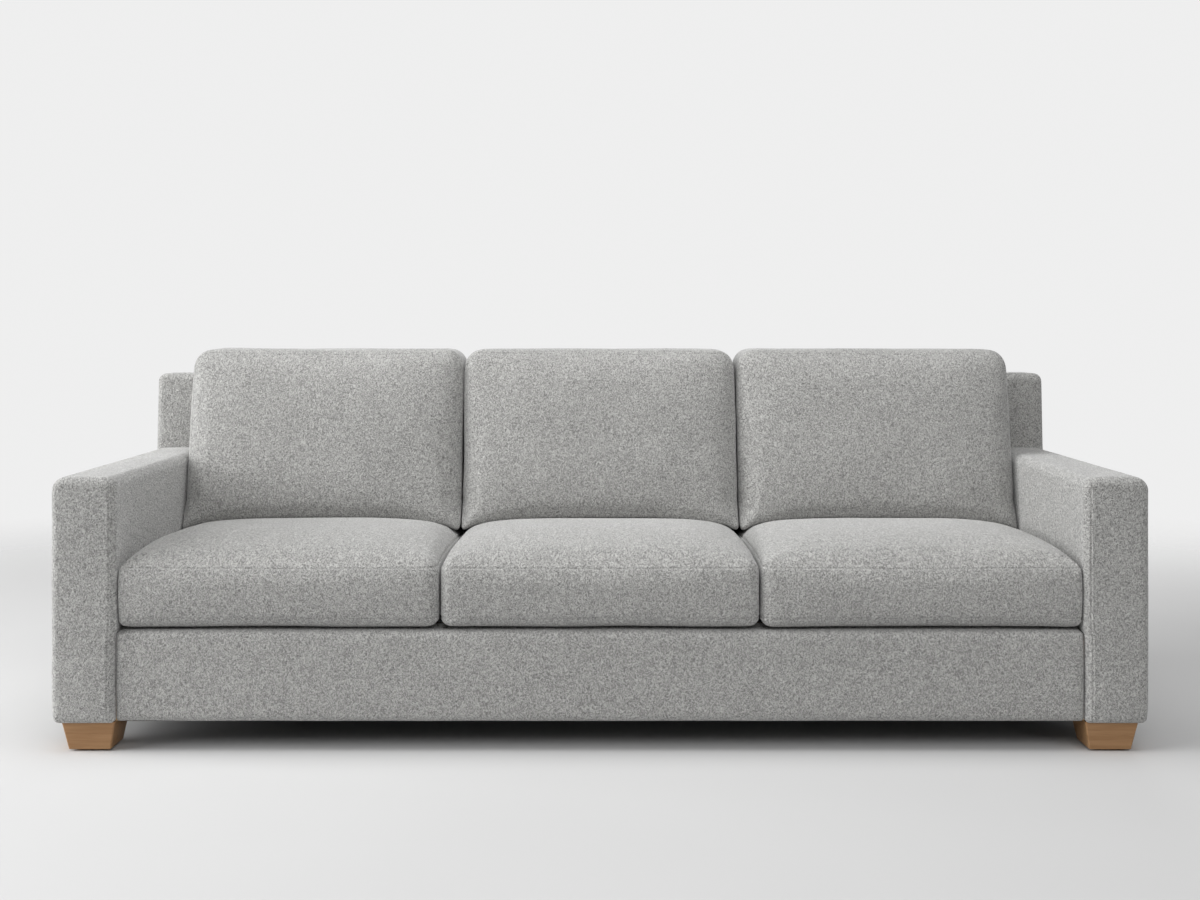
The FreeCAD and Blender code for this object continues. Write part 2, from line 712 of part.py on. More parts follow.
spring_count = int(round(value("springs_per_seat"))) * SEATS
spring_pitch = 2 * value(ARM_INNER) / spring_count
first_spring = -(spring_count - 1) / 2 * spring_pitch
spring_places = [
    FreeCAD.Vector(first_spring + index * spring_pitch, 0, 0)
    for index in range(spring_count)
]
wire_bottom = value(f"{RAIL_TOP} + clip_sheet + wire_clearance")
clip_inset = value("clip_inset")
TURN_BEVEL = 0.45  # share of a turn's pitch that its slanted end takes
spring_front = value(front_rail_y[1]) - value("clip_depth") + clip_inset
spring_rear = value(rear_rail_front) + value("clip_depth") - clip_inset


def zigzag():
    """One zigzag spring: straight bars joined by pointed turns, as a flat bent bar."""
    reach = value("spring_reach")
    half_wire = value("wire_size") / 2
    turns = int((spring_rear - spring_front) / value("spring_half_turn"))
    turns -= turns % 2
    step = (spring_rear - spring_front - 2 * half_wire) / turns
    bevel = step * TURN_BEVEL
    line = []
    side = -1
    for index in range(turns + 1):
        y = spring_front + half_wire + index * step
        inner = reach - bevel
        line.append((side * inner, y))
        line.append((-side * inner, y))
        if index < turns:
            line.append((-side * reach, y + step / 2))
        side = -side
    left = []
    right = []
    last = len(line) - 1
    for index, (x, y) in enumerate(line):
        before = line[max(index - 1, 0)]
        after = line[min(index + 1, last)]
        first = FreeCAD.Vector(x - before[0], y - before[1], 0)
        second = FreeCAD.Vector(after[0] - x, after[1] - y, 0)
        if index == 0:
            first = second
        if index == last:
            second = first
        first.normalize()
        second.normalize()
        middle = FreeCAD.Vector(-first.y - second.y, first.x + second.x, 0)
        middle.normalize()
        length = half_wire / (middle.x * -first.y + middle.y * first.x)
        left.append(FreeCAD.Vector(x + middle.x * length, y + middle.y * length, wire_bottom))
        right.append(FreeCAD.Vector(x - middle.x * length, y - middle.y * length, wire_bottom))
    outline = left + right[::-1]
    face = Part.Face(Part.makePolygon(outline + outline[:1]))
    return face.extrude(FreeCAD.Vector(0, 0, value("wire_size")))


spring = zigzag()
springs = [spring.translated(place) for place in spring_places]
seat_springs = shaped("seat_springs", Part.makeCompound(springs))

clip_low = RAIL_TOP
clip_wire_top = f"({RAIL_TOP} + clip_sheet + wire_size + 2 * wire_clearance)"
clip_top = f"({RAIL_TOP} + {CLIP_STACK})"


def clip(label, back, mouth):
    """A folded clip, closed at its back and open at its mouth toward the spring."""
    sign = "1" if value(f"({mouth}) - ({back})") > 0 else "-1"
    corners = [
        (back, clip_low),
        (mouth, clip_low),
        (mouth, f"{clip_low} + clip_sheet"),
        (f"({back}) + {sign} * clip_sheet", f"{clip_low} + clip_sheet"),
        (f"({back}) + {sign} * clip_sheet", clip_wire_top),
        (mouth, clip_wire_top),
        (mouth, clip_top),
        (back, clip_top),
    ]
    return profile(label, "YZ_Plane", corners, ("-clip_width / 2", "clip_width / 2"))


front_clip = clip("front_clip", f"{front_rail_y[1]} - clip_depth", front_rail_y[1])
rear_clip = clip("rear_clip", f"{rear_rail_front} + clip_depth", rear_rail_front)
clip_pair = group("clip_pair", [front_clip, rear_clip])
spring_clips = repeated("spring_clips", clip_pair, spring_places)

# Deck: a felt pad over the springs and a cloth on top, from the border to the inside back.

deck_x = (f"-{ARM_INNER} + layer_gap", f"{ARM_INNER} - layer_gap")
deck_rear = front_face("deck_height - deck_rear_drop")
deck_y = (f"{RAIL_FACE} + rail_wrap + layer_gap", f"{deck_rear} - layer_gap")
deck_pad_z = (f"{RAIL_TOP} + {CLIP_STACK} + layer_gap", "deck_height - cover_thickness - layer_gap")
deck_pad = box("deck_pad", deck_x, deck_y, deck_pad_z)
deck_cloth = box("deck_cloth", deck_x, deck_y, ("deck_height - cover_thickness", "deck_height"))

keep(seat_springs, spring_clips, deck_pad, deck_cloth)

# Dust cover: a thin cloth under the whole frame, let through by the leg bolts.

dust_x = (f"-{BACK_END} + layer_gap", f"{BACK_END} - layer_gap")
dust_y = (front_rail_y[0], f"{rear_face('base_clearance')} - cover_thickness - layer_gap")
dust_sheet = box("dust_sheet", dust_x, dust_y, ("base_clearance", FRAME_BOTTOM))


def dust_hole(label, y):
    """A square hole for one bolt through the dust cover."""
    x_range = (f"{LEG_X} - ({BOLT_ROOM})", f"{LEG_X} + ({BOLT_ROOM})")
    y_range = (f"{y} - ({BOLT_ROOM})", f"{y} + ({BOLT_ROOM})")
    return box(label, x_range, y_range, (f"base_clearance - {REACH}", f"base_clearance + {REACH}"))


front_hole = dust_hole("front_dust_hole", FRONT_LEG_Y)
rear_hole = dust_hole("rear_dust_hole", REAR_LEG_Y)
dust_cover = cut("dust_cover", dust_sheet, four("dust_holes", front_hole, rear_hole))

keep(dust_cover)

# Loose cushions: each is lofted through outlines with rounded corners and drawn-in sides,
# with a soft rim and a crown, over a plain core that has its own room inside the cover.


def outline(width, height, corner, draw, placement, bends=4):
    """Points round a rectangle with rounded corners and drawn-in sides, on a placed plane."""
    across = width / 2 - corner
    up = height / 2 - corner
    points = []
    for turn, (x, y) in enumerate(((across, -up), (across, up), (-across, up), (-across, -up))):
        for step in range(bends + 1):
            angle = math.radians(90 * (turn - 1) + 90 * step / bends)
            points.append((x + corner * math.cos(angle), y + corner * math.sin(angle)))
        if draw:
            middle = (up + corner if turn % 2 else across + corner) - draw
            way = math.radians(90 * turn)
            points.append((middle * math.cos(way), middle * math.sin(way)))
    return [placement.multVec(FreeCAD.Vector(x, y, 0)) for x, y in points]


FLAT = 0.00001  # four corners that miss a plane by less than this make one facet


def facet(points):
    """A flat face with straight sides."""
    return Part.Face(Part.makePolygon(points + points[:1]))


def lofted(rings):
    """A solid through rings of points: straight facets from ring to ring, closed at both ends."""
    faces = [facet(rings[0]), facet(rings[-1])]
    for lower, upper in zip(rings, rings[1:]):
        for index in range(len(lower)):
            after = (index + 1) % len(lower)
            corners = [lower[index], lower[after], upper[after], upper[index]]
            normal = (corners[1] - corners[0]).cross(corners[2] - corners[0])
            twist = normal.dot(corners[3] - corners[0]) / normal.Length
            if abs(twist) < FLAT:
                faces.append(facet(corners))
            else:
                faces.append(facet(corners[:3]))
                faces.append(facet([corners[0], corners[2], corners[3]]))
    shell = Part.makeShell(faces)
    shell.sewShape()
    return Part.makeSolid(shell)


CROWN_STEPS = 5  # rings that carry a seat cushion's crown
CROWN_REACH = 0.86  # share of the half width at which the seat crown turns flat
BACK_CROWN_STEPS = 4
BACK_CROWN_REACH = 0.8
REAR_SOFTNESS = 0.3  # how far the rear rim of a back cushion bends in
SEAT_LEAST_CORNER = 10
BACK_LEAST_CORNER = 12
CORNER_SHRINK = 0.6  # how fast a back cushion's corners tighten toward its crown
LEAST_DRAW = 0.2
CORE_LIFT = 0.7  # share of the wrap that lies under a seat core


def crown_share(inset, rim, half):
    """How much of the crown is reached at a distance in from the rim."""
    return 1 - ((half - inset) / (half - rim)) ** 2


gap = value("cushion_gap")
seat_width = (2 * value(ARM_INNER) - (SEATS + 1) * gap) / SEATS
seat_front = value(RAIL_FACE)
seat_depth = value(front_face(DECK_TOP)) - value("layer_gap") - seat_front
seat_low = value(DECK_TOP)
seat_edge = value("seat_edge_height")
seat_crown = value("seat_crown")
seat_rim = value("seat_rim")
draw_in = value("draw_in")
wrap = value("wrap_thickness")
seat_half = min(seat_width, seat_depth) / 2


def seat_form():
    """The outer form of a seat cushion: soft rims below and above, and a crowned top."""
    bend = seat_rim * (1 - math.sqrt(0.5))
    levels = [(seat_rim, 0), (bend, bend), (0, seat_rim)]
    levels += [(0, seat_edge - seat_rim), (bend, seat_edge - bend)]
    for step in range(CROWN_STEPS + 1):
        inset = seat_rim + (seat_half * CROWN_REACH - seat_rim) * step / CROWN_STEPS
        levels.append((inset, seat_edge + seat_crown * crown_share(inset, seat_rim, seat_half)))
    rings = []
    for inset, height in levels:
        centre = FreeCAD.Vector(0, seat_front + seat_depth / 2, seat_low + height)
        corner = max(value("seat_corner") - inset, SEAT_LEAST_CORNER)
        draw = draw_in * max(1 - inset / seat_half, LEAST_DRAW)
        place = FreeCAD.Placement(centre, FreeCAD.Rotation())
        rings.append(outline(seat_width - 2 * inset, seat_depth - 2 * inset, corner, draw, place))
    return lofted(rings)


def seat_core(grow):
    """The plain foam block inside a seat cushion, grown on every side for its room."""
    lift = CORE_LIFT * wrap
    size = FreeCAD.Vector(seat_width - 2 * wrap, seat_depth - 2 * wrap, seat_edge - 2 * lift)
    corner = FreeCAD.Vector(-size.x / 2, seat_front + wrap, seat_low + lift)
    more = FreeCAD.Vector(grow, grow, grow)
    block = Part.makeBox(size.x + 2 * grow, size.y + 2 * grow, size.z + 2 * grow, corner - more)
    return block.makeChamfer(value("core_bevel"), block.Edges)


back_width_each = seat_width
back_foot_thickness = value("back_cushion_foot_thickness")
back_head_thickness = value("back_cushion_head_thickness")
back_crown = value("back_cushion_crown")
back_rim = value("back_rim")
back_foot_rear = value(front_face("deck_height")) - value("foot_margin")
back_foot_inset = seat_front + seat_depth - back_foot_rear + back_foot_thickness
back_share = crown_share(min(back_foot_inset, seat_half), seat_rim, seat_half)
back_low = seat_low + seat_edge + seat_crown * back_share + value("layer_gap")
back_high = value("back_cushion_top")
lean = value("back_lean")
rear_foot = value(front_face(str(back_low))) - value("layer_gap")
front_foot = rear_foot - back_foot_thickness
rear_head = rear_foot + (back_high - back_low) * math.tan(math.radians(lean))
front_head = rear_head - back_head_thickness
front_lean = math.degrees(math.atan2(front_head - front_foot, back_high - back_low))


def back_plane(share, forward, inset):
    """A leaning plane between the rear (0) and the front (1) of a back cushion."""
    angle = lean + (front_lean - lean) * share
    foot = rear_foot + (front_foot - rear_foot) * share
    length = (back_high - back_low) / math.cos(math.radians(angle))
    turn = FreeCAD.Rotation(FreeCAD.Vector(1, 0, 0), 90 - angle)
    base = FreeCAD.Vector(0, foot, back_low)
    up = FreeCAD.Vector(0, math.sin(math.radians(angle)), math.cos(math.radians(angle)))
    out = FreeCAD.Vector(0, -up.z, up.y)
    centre = base + up * (length / 2) + out * forward
    return FreeCAD.Placement(centre, turn), length - 2 * inset


def back_form():
    """The outer form of a back cushion: a wedge with soft rims and a crowned front."""
    mean_thickness = (back_foot_thickness + back_head_thickness) / 2
    rear_rim = value("back_rear_rim")
    soft = rear_rim * REAR_SOFTNESS
    bend = back_rim * (1 - math.sqrt(0.5))
    levels = [(0, 0, rear_rim), (0, soft, soft), (rear_rim / mean_thickness, 0, 0)]
    levels.append((1 - back_rim / mean_thickness, 0, 0))
    levels.append((1 - bend / mean_thickness, 0, bend))
    half = (back_high - back_low) / 2
    for step in range(BACK_CROWN_STEPS + 1):
        inset = back_rim + (half * BACK_CROWN_REACH - back_rim) * step / BACK_CROWN_STEPS
        levels.append((1, back_crown * crown_share(inset, back_rim, half), inset))
    rings = []
    for share, forward, inset in levels:
        place, height = back_plane(share, forward, inset)
        corner = max(value("back_corner") - inset * CORNER_SHRINK, BACK_LEAST_CORNER)
        draw = draw_in * max(1 - inset / half, LEAST_DRAW)
        rings.append(outline(back_width_each - 2 * inset, height, corner, draw, place))
    return lofted(rings)


def back_core(grow):
    """The plain wedge of filling inside a back cushion, grown for its room."""
    rings = []
    for share, forward in ((0, wrap - grow), (1, -wrap + grow)):
        place, height = back_plane(share, forward, wrap - grow)
        width = back_width_each - 2 * (wrap - grow)
        rings.append(outline(width, height, value("core_corner"), 0, place, 1))
    return lofted(rings)


core_room = value("layer_gap")
seat_skin = seat_form().cut(seat_core(core_room))
seat_block = seat_core(0)
back_skin = back_form().cut(back_core(core_room))
back_block = back_core(0)
seat_places = [("left", -1), ("middle", 0), ("right", 1)]
for side, number in seat_places:
    place = FreeCAD.Vector(number * (seat_width + gap), 0, 0)
    keep(shaped(f"seat_cushion_{side}_cover", seat_skin, place))
    keep(shaped(f"seat_cushion_{side}_core", seat_block, place))
    keep(shaped(f"back_cushion_{side}_cover", back_skin, place))
    keep(shaped(f"back_cushion_{side}_core", back_block, place))

doc.recompute()

for item in doc.Objects:
    if "Invalid" in item.State or "Error" in item.State:
        raise RuntimeError(item.Label + " did not build")
for piece in nodes:
    if piece.Shape.isNull() or not piece.Shape.isValid() or not piece.Shape.Solids:
        raise RuntimeError(piece.Label + " has no sound solid")

os.makedirs("parts", exist_ok=True)
for piece in nodes:
    piece.Shape.exportStep("parts/" + piece.Label + ".step")
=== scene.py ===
import math

import bmesh
import bpy
import numpy as np
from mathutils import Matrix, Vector, noise


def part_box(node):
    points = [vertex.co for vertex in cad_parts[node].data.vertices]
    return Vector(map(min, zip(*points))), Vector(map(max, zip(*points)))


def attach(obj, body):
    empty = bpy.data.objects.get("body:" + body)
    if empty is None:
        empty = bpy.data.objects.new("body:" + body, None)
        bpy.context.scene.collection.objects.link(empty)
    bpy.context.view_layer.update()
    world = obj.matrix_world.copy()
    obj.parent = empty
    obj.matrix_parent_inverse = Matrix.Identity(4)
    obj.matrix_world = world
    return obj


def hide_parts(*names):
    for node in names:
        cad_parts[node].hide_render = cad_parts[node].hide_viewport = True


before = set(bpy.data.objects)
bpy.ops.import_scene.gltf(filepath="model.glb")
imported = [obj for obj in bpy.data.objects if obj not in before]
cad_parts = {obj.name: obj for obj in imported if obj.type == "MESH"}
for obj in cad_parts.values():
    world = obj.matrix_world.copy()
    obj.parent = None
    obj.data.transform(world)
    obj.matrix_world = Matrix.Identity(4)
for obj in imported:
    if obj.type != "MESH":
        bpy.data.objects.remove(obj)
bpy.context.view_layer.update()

MM = 0.001
SIDES = ("left", "middle", "right")
ROOT = "sofa_frame"


def mm_box(node):
    """Low and high corner of a CAD node, in millimetres."""
    low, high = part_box(node)
    return np.array(low) / MM, np.array(high) / MM


# Grids and rounded forms. Lengths are in millimetres until a mesh is made.

SEAM_SPACING = 0.8
SEAM_OFFSETS = (-6.0, -3.6, -1.8, 0.0, 1.8, 3.6, 6.0)
GRID_DIGITS = 4
TINY = 1e-9


def grid_lines(length, pitch, low_zone, high_zone, fine, extra=()):
    """Grid lines from 0 to length: fine in the two end zones, pitch between them."""
    low = np.linspace(0, low_zone, max(1, round(low_zone / fine)) + 1)
    inner = max(1, round((length - low_zone - high_zone) / pitch))
    middle = np.linspace(low_zone, length - high_zone, inner + 1)
    high = np.linspace(length - high_zone, length, max(1, round(high_zone / fine)) + 1)
    lines = np.unique(np.concatenate([low, middle, high]))
    for line in extra:
        lines = lines[(abs(lines - line) > SEAM_SPACING) | (lines == 0) | (lines == length)]
        lines = np.append(lines, line)
    return np.unique(lines.round(GRID_DIGITS))


def seam_lines(*places):
    """Extra grid lines that carry a seam's groove at each place."""
    return [place + offset for place in places for offset in SEAM_OFFSETS]


def box_shell(us, vs, ws):
    """Points and quads of a closed box grid."""
    index = {}
    points = []

    def at(i, j, k):
        key = (i, j, k)
        if key not in index:
            index[key] = len(points)
            points.append((us[i], vs[j], ws[k]))
        return index[key]

    nu, nv, nw = len(us) - 1, len(vs) - 1, len(ws) - 1
    faces = []
    for i in range(nu):
        for j in range(nv):
            faces.append((at(i, j, 0), at(i + 1, j, 0), at(i + 1, j + 1, 0), at(i, j + 1, 0)))
            faces.append((at(i, j, nw), at(i, j + 1, nw), at(i + 1, j + 1, nw), at(i + 1, j, nw)))
    for i in range(nu):
        for k in range(nw):
            faces.append((at(i, 0, k), at(i, 0, k + 1), at(i + 1, 0, k + 1), at(i + 1, 0, k)))
            faces.append((at(i, nv, k), at(i + 1, nv, k), at(i + 1, nv, k + 1), at(i, nv, k + 1)))
    for j in range(nv):
        for k in range(nw):
            faces.append((at(0, j, k), at(0, j + 1, k), at(0, j + 1, k + 1), at(0, j, k + 1)))
            faces.append((at(nu, j, k), at(nu, j, k + 1), at(nu, j + 1, k + 1), at(nu, j + 1, k)))
    return np.array(points, float), faces


def round_plan(u, v, width, height, radii):
    """Rounds the corners of a rectangle. Returns the moved points, inset and inward normal."""
    u, v = u.copy(), v.copy()
    inset = np.minimum(np.minimum(u, width - u), np.minimum(v, height - v))
    nu = np.where(inset == u, 1.0, np.where(inset == width - u, -1.0, 0.0))
    nv = np.where(nu != 0, 0.0, np.where(inset == v, 1.0, -1.0))
    corners = ((0, 0), (width, 0), (width, height), (0, height))
    for (cu, cv), radius in zip(corners, radii):
        su = 1 if cu == 0 else -1
        sv = 1 if cv == 0 else -1
        qu, qv = cu + su * radius, cv + sv * radius
        du, dv = u - qu, v - qv
        near = (du * su < 0) & (dv * sv < 0)
        size = np.hypot(du, dv) + TINY
        shrink = np.maximum(abs(du), abs(dv)) / size
        u = np.where(near, qu + du * shrink, u)
        v = np.where(near, qv + dv * shrink, v)
        inset = np.where(near, radius - size * shrink, inset)
        nu = np.where(near, -du / size, nu)
        nv = np.where(near, -dv / size, nv)
    return u, v, inset, nu, nv


def round_edge(inset, depth, radius):
    """Rounds the edge between a face (depth 0) and the sides (inset 0)."""
    along = np.clip(radius - inset, 0, None)
    down = np.clip(radius - depth, 0, None)
    near = (along > 0) & (down > 0)
    size = np.hypot(along, down) + TINY
    new_inset = np.where(near, radius - radius * along / size, inset)
    new_depth = np.where(near, radius - radius * down / size, depth)
    return new_inset, new_depth


def make_mesh(name, points, faces, smooth=True):
    """A mesh object from points in millimetres, faces turned outward."""
    mesh = bpy.data.meshes.new(name)
    mesh.from_pydata([tuple(p) for p in np.asarray(points) * MM], [], faces)
    solid = bmesh.new()
    solid.from_mesh(mesh)
    bmesh.ops.recalc_face_normals(solid, faces=solid.faces)
    solid.to_mesh(mesh)
    solid.free()
    if smooth:
        mesh.polygons.foreach_set("use_smooth", [True] * len(mesh.polygons))
    mesh.update()
    piece = bpy.data.objects.new(name, mesh)
    bpy.context.scene.collection.objects.link(piece)
    return piece


def points_of(piece):
    """Vertex places of a mesh object, in millimetres."""
    places = np.zeros(len(piece.data.vertices) * 3)
    piece.data.vertices.foreach_get("co", places)
    return places.reshape(-1, 3) / MM


def normals_of(piece):
    """Vertex normals of a mesh object."""
    normals = np.zeros(len(piece.data.vertices) * 3)
    piece.data.vertices.foreach_get("normal", normals)
    return normals.reshape(-1, 3)


def move_to(piece, points):
    """Sets the vertex places of a mesh object, in millimetres."""
    piece.data.vertices.foreach_set("co", (np.asarray(points) * MM).ravel())
    piece.data.update()


NOISE_STEPS = (7.31, 3.17, 5.93)


def unevenness(points, period, seed):
    """Smooth noise between about -1 and 1 at each point."""
    shift = Vector([seed * step for step in NOISE_STEPS])
    return np.array([noise.noise(Vector(p) / period + shift) for p in points])


# A seam's puffed shoulders: their height as a share of its depth, their place and width in its widths.
SHOULDER_SHARE = 0.45
SHOULDER_PLACE = 2.6
SHOULDER_WIDTH = 1.3


def seam_profile(distance, depth, width):
    """A sewn groove with slightly puffed shoulders."""
    groove = -depth * np.exp(-((distance / width) ** 2))
    from_shoulder = (abs(distance) - SHOULDER_PLACE * width) / (SHOULDER_WIDTH * width)
    return groove + SHOULDER_SHARE * depth * np.exp(-(from_shoulder ** 2))


def soft_block(name, lines, radii, front_round, rear_round, place):
    """A closed upholstered block. u and v span its front face, w runs back from it.
    place(u, v, w) gives x, y, z. Also returns each point's place in the grid, and how far it lies
    past the front and rear edges."""
    points, faces = box_shell(*lines)
    u, v, w = points.T
    width, height, depth = (line[-1] for line in lines)
    u2, v2, inset, nu, nv = round_plan(u, v, width, height, radii)
    front_radius = front_round(v) if callable(front_round) else front_round
    front_inset, w2 = round_edge(inset, w, front_radius)
    rear_radius = rear_round(v) if callable(rear_round) else rear_round
    rear_inset, back = round_edge(inset, depth - w2, rear_radius)
    new_inset = np.where(w < depth / 2, front_inset, rear_inset)
    w2 = np.where(w < depth / 2, w2, depth - back)
    u2 = u2 + nu * (new_inset - inset)
    v2 = v2 + nv * (new_inset - inset)
    piece = make_mesh(name, np.stack(place(u2, v2, w2), axis=1), faces)
    past = {
        "front": np.where(w == 0, -inset, w),
        "rear": np.where(w == depth, -inset, depth - w),
        "grid": points,
    }
    return piece, past


def sew(piece, past, seams, share=1.0):
    """Presses seams into a block. Each seam is (edge, distance past the edge, depth, half width).
    share scales the seams at each point."""
    offset = sum(seam_profile(past[edge] - place, depth, half) for edge, place, depth, half in seams)
    move_to(piece, points_of(piece) + normals_of(piece) * (share * offset)[:, None])


STITCH_LENGTH = 5.0
STITCH_GAP = 2.4
THREAD_RADIUS = 0.55
THREAD_SIDES = 5
# Places along a stitch, and the thread's thickness there.
STITCH_STATIONS = ((0.0, 0.3), (0.2, 1.0), (0.8, 1.0), (1.0, 0.3))


def seam_ring(past, level):
    """Vertex numbers along a line round a block's sides, in order."""
    u, v, w = past["grid"].T
    width, height = u.max(), v.max()
    run = np.where(v == 0, u, np.where(u == width, width + v, 2 * width + height - u))
    run = np.where((u == 0) & (v > 0), 2 * (width + height) - v, run)
    ring = np.flatnonzero(np.isclose(w, level))
    return ring[np.argsort(run[ring])]


def stitches(name, piece, past, level):
    """Single stitches of thread along a line round a block's sides."""
    ring = seam_ring(past, level)
    ring = np.append(ring, ring[0])
    line = points_of(piece)[ring]
    outward = normals_of(piece)[ring]
    run = np.concatenate([[0.0], np.cumsum(np.linalg.norm(np.diff(line, axis=0), axis=1))])
    count = int(run[-1] / (STITCH_LENGTH + STITCH_GAP))
    starts = np.arange(count) * run[-1] / count

    def along(distance, values):
        return np.stack([np.interp(distance, run, column) for column in values.T], axis=1)

    way = along(starts + STITCH_LENGTH, line) - along(starts, line)
    way /= np.linalg.norm(way, axis=1, keepdims=True)
    up = along(starts + STITCH_LENGTH / 2, outward)
    side = np.cross(way, up)
    rows = []
    for share, swell in STITCH_STATIONS:
        middle = along(starts + share * STITCH_LENGTH, line) + up * THREAD_RADIUS * swell
        for turn in range(THREAD_SIDES):
            angle = 2 * math.pi * turn / THREAD_SIDES
            around = math.cos(angle) * up + math.sin(angle) * side
            rows.append(middle + THREAD_RADIUS * swell * around)
    points = np.stack(rows, axis=1).reshape(-1, 3)
    size = len(rows)
    faces = []
    for base in range(0, count * size, size):
        for low in range(base, base + size - THREAD_SIDES, THREAD_SIDES):
            for turn in range(THREAD_SIDES):
                after = (turn + 1) % THREAD_SIDES
                high = low + THREAD_SIDES
                faces.append((low + turn, low + after, high + after, high + turn))
        faces.append(tuple(range(base, base + THREAD_SIDES))[::-1])
        faces.append(tuple(range(base + size - THREAD_SIDES, base + size)))
    return make_mesh(name, points, faces)


def soften(piece, waves, seed):
    """Makes a surface a little uneven. Each wave is (period, height)."""
    points = points_of(piece)
    offset = sum(height * unevenness(points, period, seed) for period, height in waves)
    move_to(piece, points + normals_of(piece) * offset[:, None])


FILL_FRAMES = 10


def fill(piece, pressure, limit, low, high):
    """Fills a cushion's cover: a short cloth simulation under pressure, its movement capped."""
    start = points_of(piece)
    cloth = piece.modifiers.new("filling", "CLOTH")
    cloth.settings.quality = 6
    cloth.settings.mass = 0.35
    cloth.settings.tension_stiffness = 30.0
    cloth.settings.compression_stiffness = 30.0
    cloth.settings.shear_stiffness = 12.0
    cloth.settings.bending_stiffness = 6.0
    cloth.settings.use_pressure = True
    cloth.settings.uniform_pressure_force = pressure
    cloth.settings.effector_weights.gravity = 0.0
    cloth.collision_settings.use_collision = False
    scene = bpy.context.scene
    scene.frame_start, scene.frame_end = 1, FILL_FRAMES
    for step in range(1, FILL_FRAMES + 1):
        scene.frame_set(step)
    settled = piece.evaluated_get(bpy.context.evaluated_depsgraph_get())
    moved = points_of(settled) - start
    piece.modifiers.remove(cloth)
    scene.frame_set(1)
    length = np.linalg.norm(moved, axis=1, keepdims=True)
    moved *= np.minimum(1.0, limit / np.maximum(length, TINY))
    move_to(piece, np.clip(start + moved, low, high))


# Materials. Every colour below is linear.


def new_material(name, roughness):
    """A node material with its tree, its shader and the object's own coordinates."""
    made = bpy.data.materials.new(name)
    made.use_nodes = True
    tree = made.node_tree
    shader = tree.nodes["Principled BSDF"]
    shader.inputs["Roughness"].default_value = roughness
    where = tree.nodes.new("ShaderNodeTexCoord")
    return made, tree, shader, where.outputs["Object"]


def add_noise(tree, where, scale, detail=2.0, distortion=0.0, stretch=None, shift=(0, 0, 0)):
    """A noise texture's value at a place, stretched and shifted."""
    mapping = tree.nodes.new("ShaderNodeMapping")
    mapping.inputs["Location"].default_value = shift
    mapping.inputs["Scale"].default_value = stretch or (1, 1, 1)
    tree.links.new(where, mapping.inputs["Vector"])
    texture = tree.nodes.new("ShaderNodeTexNoise")
    texture.inputs["Scale"].default_value = scale
    texture.inputs["Detail"].default_value = detail
    texture.inputs["Distortion"].default_value = distortion
    tree.links.new(mapping.outputs["Vector"], texture.inputs["Vector"])
    return texture.outputs["Fac"]


def add_math(tree, operation, *values):
    """A math node. Each input is a socket or a number."""
    node = tree.nodes.new("ShaderNodeMath")
    node.operation = operation
    for slot, value in zip(node.inputs, values):
        if isinstance(value, (int, float)):
            slot.default_value = value
        else:
            tree.links.new(value, slot)
    return node.outputs[0]


def add_range(tree, value, low, high):
    """Maps a value from low and high to 0 and 1, smoothly and clamped."""
    node = tree.nodes.new("ShaderNodeMapRange")
    node.interpolation_type = "SMOOTHSTEP"
    tree.links.new(value, node.inputs["Value"])
    node.inputs["From Min"].default_value = low
    node.inputs["From Max"].default_value = high
    return node.outputs["Result"]


def add_mix(tree, factor, first, second, blend="MIX"):
    """Mixes two colours, each a socket or three numbers."""
    node = tree.nodes.new("ShaderNodeMix")
    node.data_type = "RGBA"
    node.blend_type = blend
    sockets = [s for s in node.inputs if s.type == "RGBA"]
    for slot, value in zip(sockets, (first, second)):
        if isinstance(value, tuple):
            slot.default_value = (*value, 1.0)
        else:
            tree.links.new(value, slot)
    if isinstance(factor, (int, float)):
        node.inputs["Factor"].default_value = factor
    else:
        tree.links.new(factor, node.inputs["Factor"])
    return [s for s in node.outputs if s.type == "RGBA"][0]


def add_bump(tree, shader, height, strength, distance):
    """Bumps a shader's normal by a height."""
    node = tree.nodes.new("ShaderNodeBump")
    node.inputs["Strength"].default_value = strength
    node.inputs["Distance"].default_value = distance
    tree.links.new(height, node.inputs["Height"])
    tree.links.new(node.outputs["Normal"], shader.inputs["Normal"])


def shaded(shade, share):
    """A colour made lighter or darker."""
    return tuple(share * part for part in shade)


NAP = (1.0, 0.38, 0.85)  # stretch of the fabric's pile along each axis
CURL_LINES = 44.0


def curls(tree, where, scale, shift=(0, 0, 0)):
    """Light and dark strokes that curl along the contour lines of a noise, from -1 to 1."""
    hills = add_noise(tree, where, scale, detail=0.5, distortion=0.8, stretch=NAP, shift=shift)
    return add_math(tree, "SINE", add_math(tree, "MULTIPLY", hills, CURL_LINES))


STROKE_WEIGHT = 0.19
FIBRE_WEIGHT = 0.3
PILE_LEVEL = 0.35
PILE_DARK = (0.46, 0.46, 0.46)
PILE_LIGHT = (1.54, 1.54, 1.54)
SPECK_WEIGHT = 0.6


